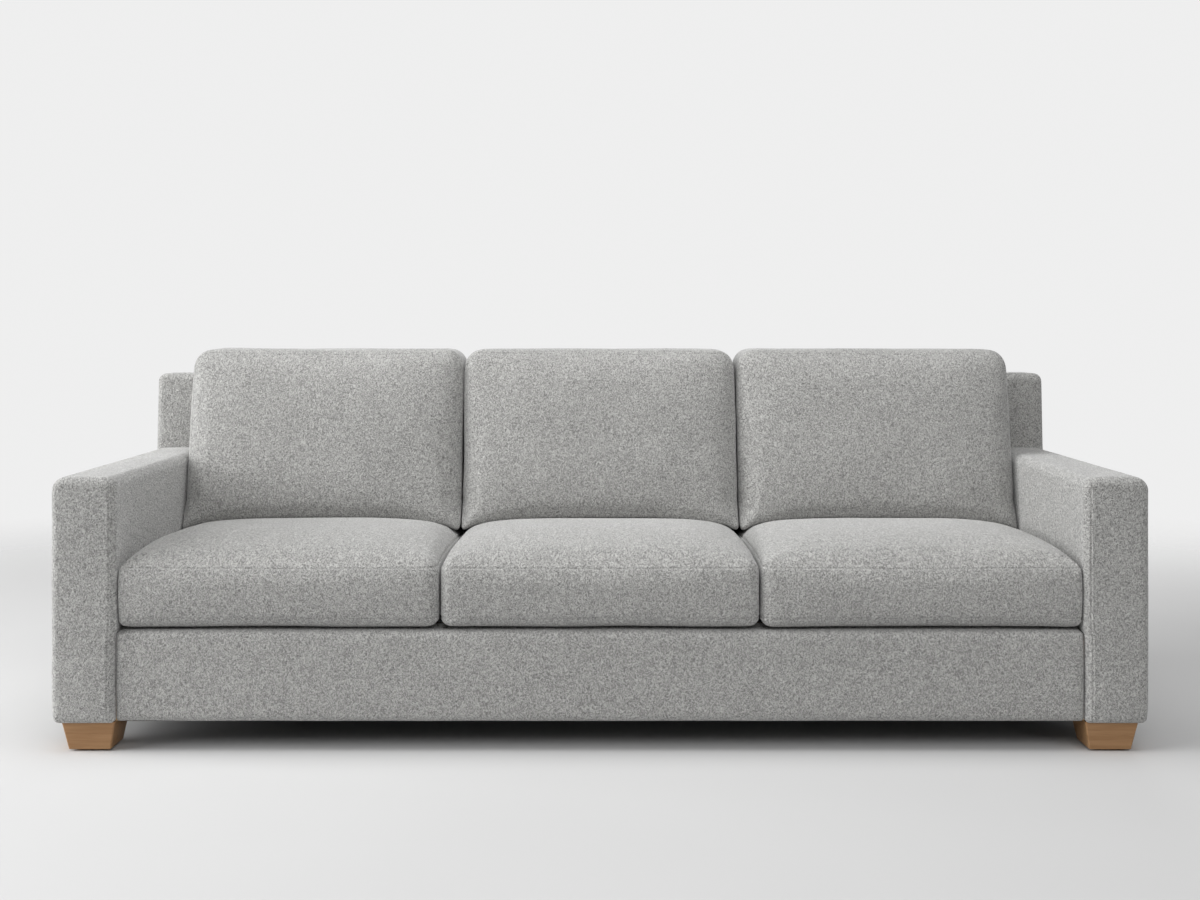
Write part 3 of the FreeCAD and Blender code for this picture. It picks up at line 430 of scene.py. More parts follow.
def fabric(name, shade):
    """Heathered brushed weave: short curling strokes, light and dark, over a mottled ground."""
    made, tree, shader, where = new_material(name, roughness=0.95)
    first_curls = curls(tree, where, scale=70.0)
    second_curls = curls(tree, where, scale=84.0, shift=(7.3, 2.9, 6.1))
    strokes = add_math(tree, "ADD", first_curls, second_curls)
    fibres = add_noise(
        tree, where, scale=400.0, detail=0.0, distortion=0.6, stretch=NAP, shift=(3.1, 1.7, 4.3)
    )
    fibres = add_range(tree, fibres, low=0.3, high=0.7)
    specks = add_noise(
        tree, where, scale=300.0, detail=0.0, distortion=0.8, stretch=NAP, shift=(5.0, 2.0, 1.0)
    )
    light_specks = add_math(tree, "MULTIPLY", add_range(tree, specks, low=0.64, high=0.74), SPECK_WEIGHT)
    dark_specks = add_math(tree, "MULTIPLY", add_range(tree, specks, low=0.36, high=0.26), SPECK_WEIGHT)
    cloud = add_range(tree, add_noise(tree, where, scale=11.0, detail=3.0), low=0.3, high=0.7)
    level = add_math(tree, "MULTIPLY_ADD", fibres, FIBRE_WEIGHT, PILE_LEVEL)
    pile = add_math(tree, "MULTIPLY_ADD", strokes, STROKE_WEIGHT, level)
    ground = add_mix(tree, cloud, shaded(shade, 0.97), shaded(shade, 1.03))
    colour = add_mix(tree, 1.0, ground, add_mix(tree, pile, PILE_DARK, PILE_LIGHT), "MULTIPLY")
    colour = add_mix(tree, light_specks, colour, shaded(shade, 1.7))
    colour = add_mix(tree, dark_specks, colour, shaded(shade, 0.45))
    tree.links.new(colour, shader.inputs["Base Color"])
    add_bump(tree, shader, pile, strength=0.5, distance=0.0025)
    shader.inputs["Sheen Weight"].default_value = 0.55
    shader.inputs["Sheen Roughness"].default_value = 0.5
    shader.inputs["Specular IOR Level"].default_value = 0.1
    return made


GRAIN_STRETCH = 0.06
PORE_STRETCH = 0.03
PORE_WEIGHT = 0.35


def wood(name, pale, deep, grain_axis, roughness):
    """Straight-grained timber along one axis."""
    made, tree, shader, where = new_material(name, roughness)

    def along_grain(share):
        return tuple(share if axis == grain_axis else 1.0 for axis in range(3))

    figure = add_noise(
        tree, where, scale=90.0, detail=4.0, distortion=0.8, stretch=along_grain(GRAIN_STRETCH)
    )
    pores = add_noise(tree, where, scale=620.0, detail=2.0, stretch=along_grain(PORE_STRETCH))
    pores = add_math(tree, "MULTIPLY", add_range(tree, pores, low=0.58, high=0.72), PORE_WEIGHT)
    base = add_mix(tree, add_range(tree, figure, low=0.3, high=0.7), pale, deep)
    colour = add_mix(tree, pores, base, shaded(deep, 0.6))
    tree.links.new(colour, shader.inputs["Base Color"])
    add_bump(tree, shader, figure, strength=0.08, distance=0.0006)
    shader.inputs["Specular IOR Level"].default_value = 0.3
    return made


THREAD_STRETCH = 0.08


def plain_cloth(name, shade, weave, roughness=0.9):
    """A thin plain cloth with a fine thread grid."""
    made, tree, shader, where = new_material(name, roughness)
    across = add_noise(tree, where, weave, detail=1.0, stretch=(1.0, THREAD_STRETCH, 1.0))
    along = add_noise(
        tree, where, weave, detail=1.0, stretch=(THREAD_STRETCH, 1.0, 1.0), shift=(2.0, 3.0, 1.0)
    )
    threads = add_math(tree, "ADD", across, along)
    light = add_range(tree, threads, low=0.75, high=1.25)
    colour = add_mix(tree, light, shaded(shade, 0.78), shaded(shade, 1.2))
    tree.links.new(colour, shader.inputs["Base Color"])
    add_bump(tree, shader, threads, strength=0.25, distance=0.0005)
    return made


def grainy(name, shade, scale, spread, roughness, metallic=0.0):
    """A speckled material: felt, board or metal."""
    made, tree, shader, where = new_material(name, roughness)
    speck = add_noise(tree, where, scale, detail=3.0)
    light = add_range(tree, speck, low=0.3, high=0.7)
    colour = add_mix(tree, light, shaded(shade, 1 - spread), shaded(shade, 1 + spread))
    tree.links.new(colour, shader.inputs["Base Color"])
    shader.inputs["Metallic"].default_value = metallic
    add_bump(tree, shader, speck, strength=0.15, distance=0.0004)
    return made


SOFA_GREY = (0.33, 0.328, 0.318)
MATERIALS = {
    "sofa_fabric": fabric("sofa_fabric", SOFA_GREY),
    "cushion_fabric": fabric("cushion_fabric", SOFA_GREY),
    "stitch_thread": plain_cloth("stitch_thread", (0.43, 0.428, 0.418), weave=900.0, roughness=0.8),
    "deck_lining": plain_cloth("deck_lining", (0.16, 0.16, 0.158), weave=900.0),
    "dust_cloth": plain_cloth("dust_cloth", (0.018, 0.018, 0.019), weave=700.0),
    "webbing": plain_cloth("webbing", (0.28, 0.2, 0.12), weave=500.0),
    "frame_timber": wood("frame_timber", (0.52, 0.36, 0.2), (0.4, 0.26, 0.13), grain_axis=0, roughness=0.7),
    "panel_board": grainy("panel_board", (0.36, 0.24, 0.13), scale=350.0, spread=0.22, roughness=0.8),
    "leg_wood": wood("leg_wood", (0.375, 0.215, 0.104), (0.3, 0.163, 0.074), grain_axis=0, roughness=0.45),
    "spring_steel": grainy("spring_steel", (0.2, 0.2, 0.21), 250.0, 0.15, roughness=0.35, metallic=1.0),
    "zinc_steel": grainy("zinc_steel", (0.55, 0.55, 0.53), 250.0, 0.12, roughness=0.35, metallic=1.0),
    "foot_felt": grainy("foot_felt", (0.06, 0.055, 0.05), scale=800.0, spread=0.3, roughness=0.95),
}


def dress(piece, slot, body, *nodes):
    """Gives a piece the material of its slot and its body, and hides the CAD nodes it stands for."""
    piece.data.materials.clear()
    piece.data.materials.append(MATERIALS[slot])
    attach(piece, body)
    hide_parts(*nodes)


# Fixed upholstery: two arms, the front rail and the back.

arm_low, arm_high = mm_box("left_arm_cover")
rail_low, rail_high = mm_box("front_rail_cover")
slab_low, slab_high = mm_box("back_cover")

SLAB_LEAN = math.tan(math.radians(4.0))
SLAB_TOP_FRONT = 340.0
SLAB_TOP = slab_high[2]
SLAB_DEPTH = 130.0
LAYER_GAP = 0.4
UPHOLSTERY_ROUND = 3.0  # rear edges that meet another upholstered piece


def slab_front(z):
    """Depth of the back's front face at a height."""
    return SLAB_TOP_FRONT - (SLAB_TOP - z) * SLAB_LEAN


EDGE_FADE = 30.0


def front_share(distance, run):
    """1 at a front edge, falling to 0 further back. A larger run keeps 1 for longer."""
    return np.clip(run - distance / EDGE_FADE, 0, 1)


ARM_RADII = (12.0, 9.0, 22.0, 29.0)
ARM_FRONT_ROUND = 17.0
ARM_SWELL = 4.0  # how far the outer side stands past the CAD cover
ARM_PUFF = 1.5  # crown of the top and of the front panel
ARM_TOP_REACH = 20.0
ARM_PANEL_PUFF = 1.5
ARM_PANEL_FADE = 30
ARM_PULL = 5.0  # how far the outer side draws in at the bottom
ARM_PULL_REACH = 22.0
UNDER_RECESS = 4.0  # room for the dust cloth in the underside
UNDER_INSET = 15.0
UNDER_STEP = 4.0
UNDER_FRONT_INSET = 18.0
UNDER_FRONT_STEP = 5.0
UNDER_FADE = 3.0
ARM_SEAM_INSET = 12.5
ARM_SEAM_FADE = 40.0
ARM_SEAM_DEPTH = 1.5
ARM_SEAM_WIDTH = 1.5
ARM_WAVES = ((180.0, 0.7),)
ARM_SEED = 3.0
RAIL_REACH = 5.0  # how far the front rail's padding covers each arm's edge
RAIL_OVERLAP = 0.5
RAIL_TUCK_FADE = 20.0


def arm_form(side):
    """One padded arm, with a seam down the inner edge of its front panel."""
    flip = -1 if side == "left" else 1
    width = arm_high[0] - arm_low[0]
    height = arm_high[2] - arm_low[2]
    depth = arm_high[1] - arm_low[1]
    outer = abs(arm_low[0])
    front = arm_low[1]
    seam = width - ARM_SEAM_INSET
    lines = (
        grid_lines(width, pitch=12.0, low_zone=30.0, high_zone=26.0, fine=3.5, extra=seam_lines(seam)),
        grid_lines(height, pitch=14.0, low_zone=22.0, high_zone=32.0, fine=3.5),
        grid_lines(depth, pitch=14.0, low_zone=26.0, high_zone=6.0, fine=3.0),
    )

    def place(u, v, w):
        z = arm_low[2] + v
        across = np.clip(u / width, 0, 1)
        puff = ARM_PUFF * np.sin(np.pi * across)
        outward = 1 - across
        pull = ARM_PULL * np.exp(-v / ARM_PULL_REACH) * outward
        swell = ARM_SWELL * outward
        beside_rail = np.clip((rail_high[2] - z) / RAIL_TUCK_FADE, 0, 1)
        tuck = (RAIL_REACH - RAIL_OVERLAP) * beside_rail * u / width
        x = flip * (outer + swell - u - pull + tuck)
        rear = slab_front(z) - LAYER_GAP
        share = w / depth
        y = front + share * (rear - front) - ARM_PANEL_PUFF * puff * (1 - share) ** ARM_PANEL_FADE
        near_top = np.clip((v - height + ARM_TOP_REACH) / ARM_TOP_REACH, 0, 1)
        inside = np.clip((u - UNDER_INSET) / UNDER_STEP, 0, 1)
        inside = inside * np.clip((w - UNDER_FRONT_INSET) / UNDER_FRONT_STEP, 0, 1)
        recess = UNDER_RECESS * inside * np.clip(1 - v / UNDER_FADE, 0, 1)
        return x, y, z + puff * near_top - ARM_PUFF + recess

    piece, past = soft_block(
        f"{side}_arm_upholstery", lines, ARM_RADII, ARM_FRONT_ROUND, UPHOLSTERY_ROUND, place
    )
    across, up, back = past["grid"].T
    past["panel edge"] = across - seam
    on_front = (back == 0) * np.clip((height - up) / ARM_SEAM_FADE, 0, 1)
    sew(piece, past, (("panel edge", 0.0, ARM_SEAM_DEPTH, ARM_SEAM_WIDTH),), on_front)
    soften(piece, ARM_WAVES, ARM_SEED + flip)
    dress(piece, "sofa_fabric", ROOT, f"{side}_arm_cover", f"{side}_arm_padding")


RAIL_RADII = (8.0, 8.0, 14.0, 14.0)
RAIL_FRONT_ROUND = 18.0
RAIL_BELLY = 2.0
RAIL_DIP = 9.5  # how far the top slopes down to the front, under the seat cushions
RAIL_DIP_POWER = 4
RAIL_DIP_RUN = 2.2
RAIL_WAVES = ((190.0, 0.8),)
RAIL_SEED = 4.0


def rail_form():
    """The padded front rail below the seat cushions."""
    width, depth, height = rail_high - rail_low
    width += 2 * RAIL_REACH
    lines = (
        grid_lines(width, pitch=16.0, low_zone=16.0, high_zone=16.0, fine=3.0),
        grid_lines(height, pitch=12.0, low_zone=14.0, high_zone=14.0, fine=3.0),
        grid_lines(depth, pitch=10.0, low_zone=12.0, high_zone=4.0, fine=3.0),
    )

    def place(u, v, w):
        rise = np.clip(v / height, 0, 1)
        belly = RAIL_BELLY * np.sin(np.pi * rise) * np.clip(1 - w / depth, 0, 1)
        dip = RAIL_DIP * rise ** RAIL_DIP_POWER * front_share(w, RAIL_DIP_RUN)
        return rail_low[0] - RAIL_REACH + u, rail_low[1] + w - belly, rail_low[2] + v - dip

    piece, _ = soft_block(
        "front_rail_upholstery", lines, RAIL_RADII, RAIL_FRONT_ROUND, UPHOLSTERY_ROUND, place
    )
    soften(piece, RAIL_WAVES, RAIL_SEED)
    dress(piece, "sofa_fabric", ROOT, "front_rail_cover", "front_rail_padding")


def growing_round(least, growth, start, reach):
    """A rounding radius that grows with height above start."""
    return lambda v: least + growth * np.clip((v - start) / reach, 0, 1)


SLAB_RADII = (4.0, 4.0, 22.0, 22.0)
SLAB_FRONT_ROUND = 18.0
SLAB_SEAM = 8.0
SLAB_SEAM_DEPTH = 1.0
SLAB_SEAM_WIDTH = 2.0
SLAB_WAVES = ((200.0, 1.0),)
SLAB_SEED = 6.0
PANEL_INSET = 18.0
PANEL_DROP = 2.1
PANEL_LEAD = 3.0  # how far the bed starts before the panel's edge
PANEL_RAMP = 4.0
REAR_SKIN = 1.0  # grid points closer than this to the rear face belong to it


def back_form():
    """The padded back, with a shallow bed on its rear face for the outside cloth."""
    width = slab_high[0] - slab_low[0]
    height = SLAB_TOP - slab_low[2]
    lines = (
        grid_lines(width, pitch=18.0, low_zone=32.0, high_zone=32.0, fine=4.0),
        grid_lines(height, pitch=16.0, low_zone=30.0, high_zone=32.0, fine=4.0),
        grid_lines(
            SLAB_DEPTH, pitch=12.0, low_zone=22.0, high_zone=18.0, fine=3.5, extra=seam_lines(SLAB_SEAM)
        ),
    )

    def place(u, v, w):
        z = slab_low[2] + v
        edge = np.minimum(np.minimum(u, width - u), np.minimum(v, height - v))
        bed = np.clip((edge - PANEL_INSET + PANEL_LEAD) / PANEL_RAMP, 0, 1) * (w > SLAB_DEPTH - REAR_SKIN)
        return slab_low[0] + u, slab_front(z) + w - PANEL_DROP * bed, z

    rear_round = growing_round(least=2.0, growth=10.0, start=6.0, reach=30.0)
    piece, past = soft_block("back_upholstery", lines, SLAB_RADII, SLAB_FRONT_ROUND, rear_round, place)
    sew(piece, past, (("front", SLAB_SEAM, SLAB_SEAM_DEPTH, SLAB_SEAM_WIDTH),))
    soften(piece, SLAB_WAVES, SLAB_SEED)
    dress(piece, "sofa_fabric", ROOT, "back_cover", "back_padding")


SHEET_ZONE = 6.0
SHEET_FINE = 3.0
SHEET_ROUND = 0.4  # share of the thickness


def thin_sheet(name, low, high, thickness, place, corner, pitch):
    """A closed thin cloth panel over a rectangle, shaped by place(a, b, depth)."""
    size = (high[0] - low[0], high[1] - low[1])
    lines = (
        grid_lines(size[0], pitch, SHEET_ZONE, SHEET_ZONE, SHEET_FINE),
        grid_lines(size[1], pitch, SHEET_ZONE, SHEET_ZONE, SHEET_FINE),
        np.array([0.0, thickness / 2, thickness]),
    )

    def put(u, v, w):
        return place(low[0] + u, low[1] + v, w)

    edge_round = SHEET_ROUND * thickness
    piece, _ = soft_block(name, lines, (corner,) * 4, edge_round, edge_round, put)
    return piece, size


PANEL_THICKNESS = 2.0
PANEL_GAP = 0.3


def outside_back():
    """The cloth panel tacked over the rear of the back."""
    low = (slab_low[0] + PANEL_INSET, slab_low[2] + PANEL_INSET)
    high = (slab_high[0] - PANEL_INSET, SLAB_TOP - PANEL_INSET)

    def place(a, b, w):
        return a, slab_front(b) + SLAB_DEPTH - PANEL_DROP + PANEL_GAP + w, b

    piece, size = thin_sheet(
        "outside_back_cloth", low, high, PANEL_THICKNESS, place, corner=14.0, pitch=18.0
    )
    dress(piece, "sofa_fabric", ROOT, "outside_back_cover")


DECK_DROP = 0.5
DECK_RIPPLE = 0.4
DECK_RIPPLE_ACROSS = 88.0
DECK_RIPPLE_ALONG = 40.0


def deck():
    """The lining stretched over the springs, under the seat cushions."""
    low, high = mm_box("deck_cloth")
    thickness = high[2] - low[2]

    def place(a, b, w):
        ripple = DECK_RIPPLE * np.sin(a / DECK_RIPPLE_ACROSS) * np.sin((b - low[1]) / DECK_RIPPLE_ALONG)
        return a, b, high[2] - w - DECK_DROP + ripple

    piece, size = thin_sheet("seat_deck_lining", low, high, thickness, place, corner=4.0, pitch=14.0)
    dress(piece, "deck_lining", ROOT, "deck_cloth", "deck_pad")


DUST_SAG = 5.0


def dust_cover():
    """The black cloth tacked under the frame, sagging a little between its tacks."""
    low, high = mm_box("dust_cover")
    thickness = high[2] - low[2]

    def place(a, b, w):
        across = (a - low[0]) / (high[0] - low[0])
        along = (b - low[1]) / (high[1] - low[1])
        sag = DUST_SAG * np.sqrt(np.clip(np.sin(np.pi * across) * np.sin(np.pi * along), 0, 1))
        return a, b, high[2] - w - sag

    piece, size = thin_sheet("under_dust_cloth", low, high, thickness, place, corner=4.0, pitch=20.0)
    dress(piece, "dust_cloth", ROOT, "dust_cover")


# Loose cushions.

CUSHION_GAP = 1.4
FILL_PRESSURE = 1.0
FILL_LIMIT = 5.0
SIDE_ZONE = 8  # the sides draw in over one part in this many of the half width


def drawn_in(across, drop, depth):
    """How far a cushion's sides pull in above and below their middle."""
    belly = np.sin(np.pi * np.clip(drop, 0, 1))
    zone = np.clip(abs(across) * SIDE_ZONE - (SIDE_ZONE - 1), 0, 1)
    return np.sign(across) * (depth * (1 - belly) * zone)


SEAT_FLOOR = 275.6
SEAT_EDGE = 141.0
SEAT_CROWN = 31.0
SEAT_CREST = 0.47  # where the crown is highest, as a share of the depth
SEAT_SIDE_POWER = 4.5
SEAT_REAR_POWER = 2.4
SEAT_FRONT_POWER = 2.7
SEAT_BOW = 14.0
SEAT_BOW_POWER = 6
SEAT_BOW_FALL = 2.4


def seat_top(across, along):
    """Height of a seat cushion's top above the floor; across from -1 to 1, along from 0 to 1."""
    side = np.clip(1 - abs(across) ** SEAT_SIDE_POWER, 0, 1)
    away = abs(along - SEAT_CREST) / SEAT_CREST
    behind = along > SEAT_CREST
    length = np.clip(np.where(behind, 1 - away ** SEAT_REAR_POWER, 1 - away ** SEAT_FRONT_POWER), 0, 1)
    swell = 1 - np.clip(1 - along, 0, 1) ** SEAT_BOW_POWER
    bow = SEAT_BOW * swell * (1 - SEAT_BOW_FALL * np.clip(along, 0, 1) ** 2)
    return SEAT_FLOOR + SEAT_EDGE + bow + SEAT_CROWN * side * length


SEAT_CORNERS = {
    "left": (10.0, 28.0, 28.0, 28.0),
    "middle": (28.0, 28.0, 28.0, 28.0),
    "right": (28.0, 10.0, 28.0, 28.0),
}
SEAT_TOP_ROUND = 30.0
SEAT_BOTTOM_ROUND = 15.0
SEAT_TOP_SEAM = 14.0
SEAT_BOTTOM_SEAM = 17.0
SEAT_SEAM_DEPTH = 1.3
SEAT_SEAM_WIDTH = 1.9
SEAT_DROOP = 4.0  # how far the front edge hangs over the rail
SEAT_DROOP_POWER = 4
SEAT_DROOP_RUN = 1.4
SEAT_DRAW = 1.5
SEAT_REAR_GAP = 1.0
SEAT_FRONT_GAP = 2.0
SEAT_BELLY = 6.0
SEAT_BELLY_FADE = 12
SEAT_BELLY_ROOM = 8.0
SEAT_WAVES = ((210.0, 2.0), (60.0, 0.4))


def seat_cushion(side, seed):
    """One box cushion, crowned on top, seamed under its top edge and above its bottom edge."""
    low, high = mm_box(f"seat_cushion_{side}_cover")
    width = high[0] - low[0]
    depth = high[1] - low[1] - SEAT_REAR_GAP
    seams = seam_lines(SEAT_TOP_SEAM, SEAT_EDGE - SEAT_BOTTOM_SEAM)
    lines = (
        grid_lines(width, pitch=12.0, low_zone=40.0, high_zone=40.0, fine=4.5),
        grid_lines(depth, pitch=12.0, low_zone=40.0, high_zone=40.0, fine=4.5),
        grid_lines(SEAT_EDGE, pitch=10.0, low_zone=30.0, high_zone=24.0, fine=4.0, extra=seams),
    )

    def place(u, v, w):
        across = 2 * u / width - 1
        along = v / depth
        drop = w / SEAT_EDGE
        droop = SEAT_DROOP * front_share(v, SEAT_DROOP_RUN) * np.clip(drop, 0, 1) ** SEAT_DROOP_POWER
        z = SEAT_FLOOR + (seat_top(across, along) - SEAT_FLOOR) * (1 - drop) - droop
        x = low[0] + u - drawn_in(across, drop, SEAT_DRAW)
        belly = SEAT_BELLY * np.sin(np.pi * np.clip(drop, 0, 1))
        y = low[1] + SEAT_FRONT_GAP + v - belly * np.clip(1 - along * SEAT_BELLY_FADE, 0, 1)
        return x, y, z

    piece, past = soft_block(
        f"seat_cushion_{side}_form", lines, SEAT_CORNERS[side], SEAT_TOP_ROUND, SEAT_BOTTOM_ROUND, place
    )
    over_rail = points_of(piece)[:, 1] < low[1] + SEAT_DROOP_RUN * EDGE_FADE
    floor = SEAT_FLOOR - SEAT_DROOP * over_rail
    edge = np.full_like(floor, low[0] + CUSHION_GAP)
    front = np.full_like(floor, low[1] - SEAT_BELLY_ROOM)
    least = np.stack([edge, front, floor], axis=1)
    fill(piece, FILL_PRESSURE, FILL_LIMIT, least, (high[0] - CUSHION_GAP, high[1], BACK_TOP))
    top_seam = ("front", SEAT_TOP_SEAM, SEAT_SEAM_DEPTH, SEAT_SEAM_WIDTH)
    bottom_seam = ("rear", SEAT_BOTTOM_SEAM, SEAT_SEAM_DEPTH, SEAT_SEAM_WIDTH)
    sew(piece, past, (top_seam, bottom_seam))
    soften(piece, SEAT_WAVES, seed)
    body = f"seat_cushion_{side}"
    thread = stitches(f"seat_cushion_{side}_stitches", piece, past, SEAT_TOP_SEAM)
    thread.data.materials.append(MATERIALS["stitch_thread"])
    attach(thread, body)
    dress(piece, "cushion_fabric", body, f"seat_cushion_{side}_cover", f"seat_cushion_{side}_core")


BACK_HEIGHT = 440.0
BACK_DEPTH = 200.0
BACK_FRONT_FOOT = 50.0
BACK_FRONT_HEAD = 162.0
BACK_FOOT_HEIGHT = 417.0
BACK_HEAD_HEIGHT = 850.0
BACK_TOP = 865.5
BACK_TOP_DISH = 3.0  # how much the top rises towards its two ends
BACK_TOP_ROOM = 4.0
BACK_SEAT_LINE = 0.7  # the underside follows the seat's top at this share of its depth
BACK_SEAT_GAP = 0.8
BACK_FOOT_CORNER = 6.0
BACK_FOOT_POWER = 24
BACK_REAR_GAP = 1.0
BACK_CROWN = 26.0
BACK_SIDE_POWER = 4.0
BACK_RISE_POWER = 3.4
BACK_DRAW = 3.0
BACK_RADII = (15.0, 15.0, 46.0, 46.0)
BACK_REAR_ROUND = 20.0
BACK_SEAM = 6.0
BACK_SEAM_DEPTH = 1.2
BACK_SEAM_WIDTH = 2.0
BACK_WAVES = ((190.0, 3.0), (60.0, 0.7))


def back_cushion(side, seed):
    """One loose back cushion: leaning front with a crown, boxed sides, seat-hugging underside."""
    low, high = mm_box(f"back_cushion_{side}_cover")
    width = high[0] - low[0]
    lines = (
        grid_lines(width, pitch=12.0, low_zone=50.0, high_zone=50.0, fine=5.0),
        grid_lines(BACK_HEIGHT, pitch=12.0, low_zone=40.0, high_zone=50.0, fine=5.0),
        grid_lines(
            BACK_DEPTH, pitch=12.0, low_zone=28.0, high_zone=24.0, fine=4.0, extra=seam_lines(BACK_SEAM)
        ),
    )

    def place(u, v, w):
        across = 2 * u / width - 1
        rise = v / BACK_HEIGHT
        corner = BACK_FOOT_CORNER * abs(across) ** BACK_FOOT_POWER
        foot = seat_top(across, BACK_SEAT_LINE) + BACK_SEAT_GAP - corner
        head = BACK_TOP + BACK_TOP_DISH * across ** 2
        z = foot + rise * (head - foot)
        lean = (z - BACK_FOOT_HEIGHT) / (BACK_HEAD_HEIGHT - BACK_FOOT_HEIGHT)
        front = BACK_FRONT_FOOT + lean * (BACK_FRONT_HEAD - BACK_FRONT_FOOT)
        rear = slab_front(z) - BACK_REAR_GAP
        share = w / BACK_DEPTH
        bulge = (1 - abs(across) ** BACK_SIDE_POWER) * (1 - abs(2 * rise - 1) ** BACK_RISE_POWER)
        crown = BACK_CROWN * np.clip(bulge, 0, 1) * np.clip(1 - share, 0, 1) ** 2
        x = low[0] + u - drawn_in(across, share, BACK_DRAW)
        return x, front + share * (rear - front) - crown, z

    front_round = growing_round(least=12.0, growth=20.0, start=10.0, reach=60.0)
    piece, past = soft_block(
        f"back_cushion_{side}_form", lines, BACK_RADII, front_round, BACK_REAR_ROUND, place
    )
    least = (low[0] + CUSHION_GAP, 0.0, SEAT_FLOOR)
    most = (high[0] - CUSHION_GAP, high[1], BACK_TOP + BACK_TOP_ROOM)
    fill(piece, FILL_PRESSURE, FILL_LIMIT, least, most)
    sew(piece, past, (("front", BACK_SEAM, BACK_SEAM_DEPTH, BACK_SEAM_WIDTH),))
    soften(piece, BACK_WAVES, seed)
    body = f"back_cushion_{side}"
    dress(piece, "cushion_fabric", body, f"back_cushion_{side}_cover", f"back_cushion_{side}_core")


# CAD nodes that stay on show take a material from their record slot.

NODE_SLOTS = {
    "leg_wood": ("front_left_leg", "front_right_leg", "rear_left_leg", "rear_right_leg"),
    "foot_felt": ("felt_pads",),
    "zinc_steel": ("leg_bolts", "leg_inserts", "spring_clips"),
    "spring_steel": ("seat_springs",),
    "webbing": ("back_webbing",),
    "panel_board": ("outside_back_board",),
}


def node_slot(name):
    """The material slot of a CAD node that stays on show."""
    for slot, names in NODE_SLOTS.items():
        if name in names:
            return slot
    if name.endswith("panel"):
        return "panel_board"
    return "frame_timber"


SEAT_SEED = 11.0
BACK_SEED = 21.0

arm_form("left")
arm_form("right")
rail_form()
back_form()
outside_back()
deck()
dust_cover()
for number, side in enumerate(SIDES):
    seat_cushion(side, SEAT_SEED + number)
    back_cushion(side, BACK_SEED + number)

for name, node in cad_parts.items():
    if node.hide_render:
        continue
    slot = node_slot(name)
    node.data.materials.clear()
    node.data.materials.append(MATERIALS[slot])


# Floor, light and camera. The floor's mesh is in millimetres, the rest in metres.

FLOOR_HALF = 5000.0
FLOOR_DROP = 0.5
FLOOR_CORNERS = ((-1, -1), (1, -1), (1, 1), (-1, 1))
FLOOR_DARK = (0.58, 0.58, 0.58)
FLOOR_LIGHT = (0.61, 0.61, 0.61)
FLOOR_FADE_START = 1.9
FLOOR_FADE_END = 4.6


def make_floor():
    """A pale floor under the sofa that fades into the backdrop."""
    made, tree, shader, where = new_material("floor_paint", roughness=0.9)
    cloud = add_noise(tree, where, scale=1.2)
    colour = add_mix(tree, cloud, FLOOR_DARK, FLOOR_LIGHT)
    tree.links.new(colour, shader.inputs["Base Color"])
    far = tree.nodes.new("ShaderNodeVectorMath")
    far.operation = "LENGTH"
    tree.links.new(where, far.inputs[0])
    clear = tree.nodes.new("ShaderNodeBsdfTransparent")
    fade = tree.nodes.new("ShaderNodeMixShader")
    share = add_range(tree, far.outputs["Value"], FLOOR_FADE_START, FLOOR_FADE_END)
    tree.links.new(share, fade.inputs["Fac"])
    tree.links.new(shader.outputs["BSDF"], fade.inputs[1])
    tree.links.new(clear.outputs["BSDF"], fade.inputs[2])
    tree.links.new(fade.outputs["Shader"], tree.nodes["Material Output"].inputs["Surface"])
    corners = [(x * FLOOR_HALF, y * FLOOR_HALF, -FLOOR_DROP) for x, y in FLOOR_CORNERS]
    floor = make_mesh("floor", corners, [(0, 1, 2, 3)], False)
    floor.data.materials.append(made)


def area_light(name, place, target, size, power):
    """A soft box light aimed at a point."""
    lamp = bpy.data.lights.new(name, "AREA")
    lamp.shape = "RECTANGLE"
    lamp.size, lamp.size_y = size
    lamp.energy = power
    holder = bpy.data.objects.new(name, lamp)
    holder.location = place
    holder.rotation_euler = (Vector(target) - Vector(place)).to_track_quat("-Z", "Y").to_euler()
    bpy.context.scene.collection.objects.link(holder)


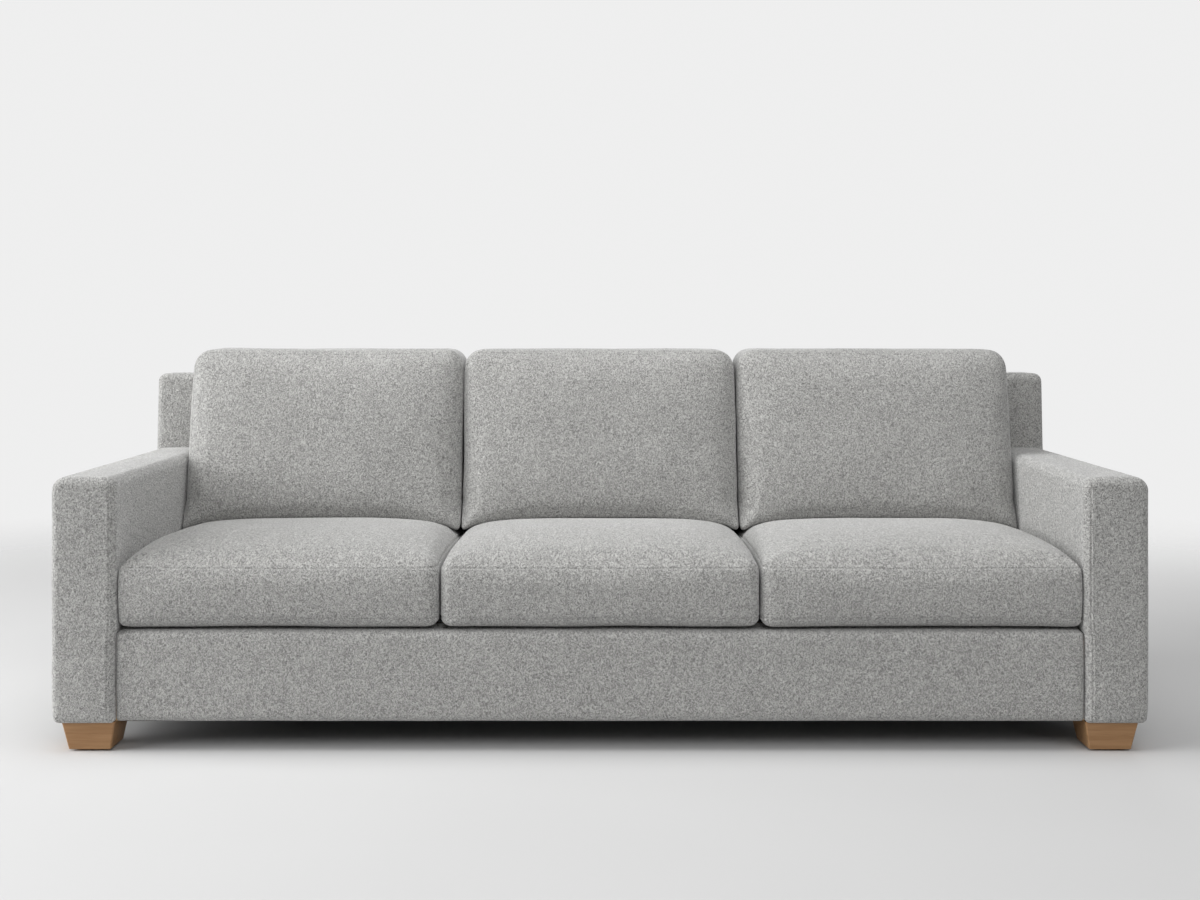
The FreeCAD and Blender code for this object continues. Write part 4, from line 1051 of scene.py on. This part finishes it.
def make_world(ambient, backdrop):
    """Even ambient light, and a pale backdrop for what the camera sees and mirrors show."""
    world = bpy.data.worlds.new("studio")
    bpy.context.scene.world = world
    world.use_nodes = True
    tree = world.node_tree
    ground = tree.nodes["Background"]
    ground.inputs["Color"].default_value = (1, 1, 1, 1)
    ground.inputs["Strength"].default_value = ambient
    seen = tree.nodes.new("ShaderNodeBackground")
    seen.inputs["Color"].default_value = (*backdrop, 1)
    seen.inputs["Strength"].default_value = 1.0
    path = tree.nodes.new("ShaderNodeLightPath")
    glossy = path.outputs["Is Glossy Ray"]
    mirrored = add_math(tree, "MAXIMUM", glossy, path.outputs["Is Transmission Ray"])
    direct = add_math(tree, "MAXIMUM", path.outputs["Is Camera Ray"], mirrored)
    mix = tree.nodes.new("ShaderNodeMixShader")
    tree.links.new(direct, mix.inputs["Fac"])
    tree.links.new(ground.outputs["Background"], mix.inputs[1])
    tree.links.new(seen.outputs["Background"], mix.inputs[2])
    tree.links.new(mix.outputs["Shader"], tree.nodes["World Output"].inputs["Surface"])


def make_camera():
    """The photo's level view from in front, with its horizon shifted up."""
    lens = bpy.data.cameras.new("camera")
    lens.sensor_width = 36.0
    lens.lens = 46.56
    lens.shift_y = -0.1088
    lens.clip_end = 100.0
    camera = bpy.data.objects.new("camera", lens)
    camera.location = (0.0, -3.85, 0.947)
    camera.rotation_euler = (math.pi / 2, 0, 0)
    bpy.context.scene.collection.objects.link(camera)
    bpy.context.scene.camera = camera


make_floor()
make_world(ambient=0.114, backdrop=(0.86, 0.86, 0.86))
area_light("left_key", (-5.0, -1.8, 3.1), target=(0.0, 0.0, 0.45), size=(4.2, 4.2), power=244.0)
area_light("side_light", (-5.2, -0.6, 1.4), target=(0.0, 0.0, 0.5), size=(2.4, 1.6), power=120.0)
area_light("top_light", (0.0, -0.6, 3.4), target=(0.0, -0.1, 0.4), size=(4.0, 2.5), power=72.0)
area_light("front_fill", (0.6, -4.6, 3.4), target=(0.0, 0.2, 0.6), size=(3.0, 2.0), power=64.0)
area_light("rear_light", (0.8, 4.2, 1.1), target=(0.0, 0.0, 0.5), size=(3.5, 1.0), power=85.0)
area_light("right_fill", (3.2, -3.4, 2.0), target=(0.0, 0.0, 0.4), size=(2.0, 2.0), power=20.0)
make_camera()
bpy.context.scene.view_settings.view_transform = "Standard"
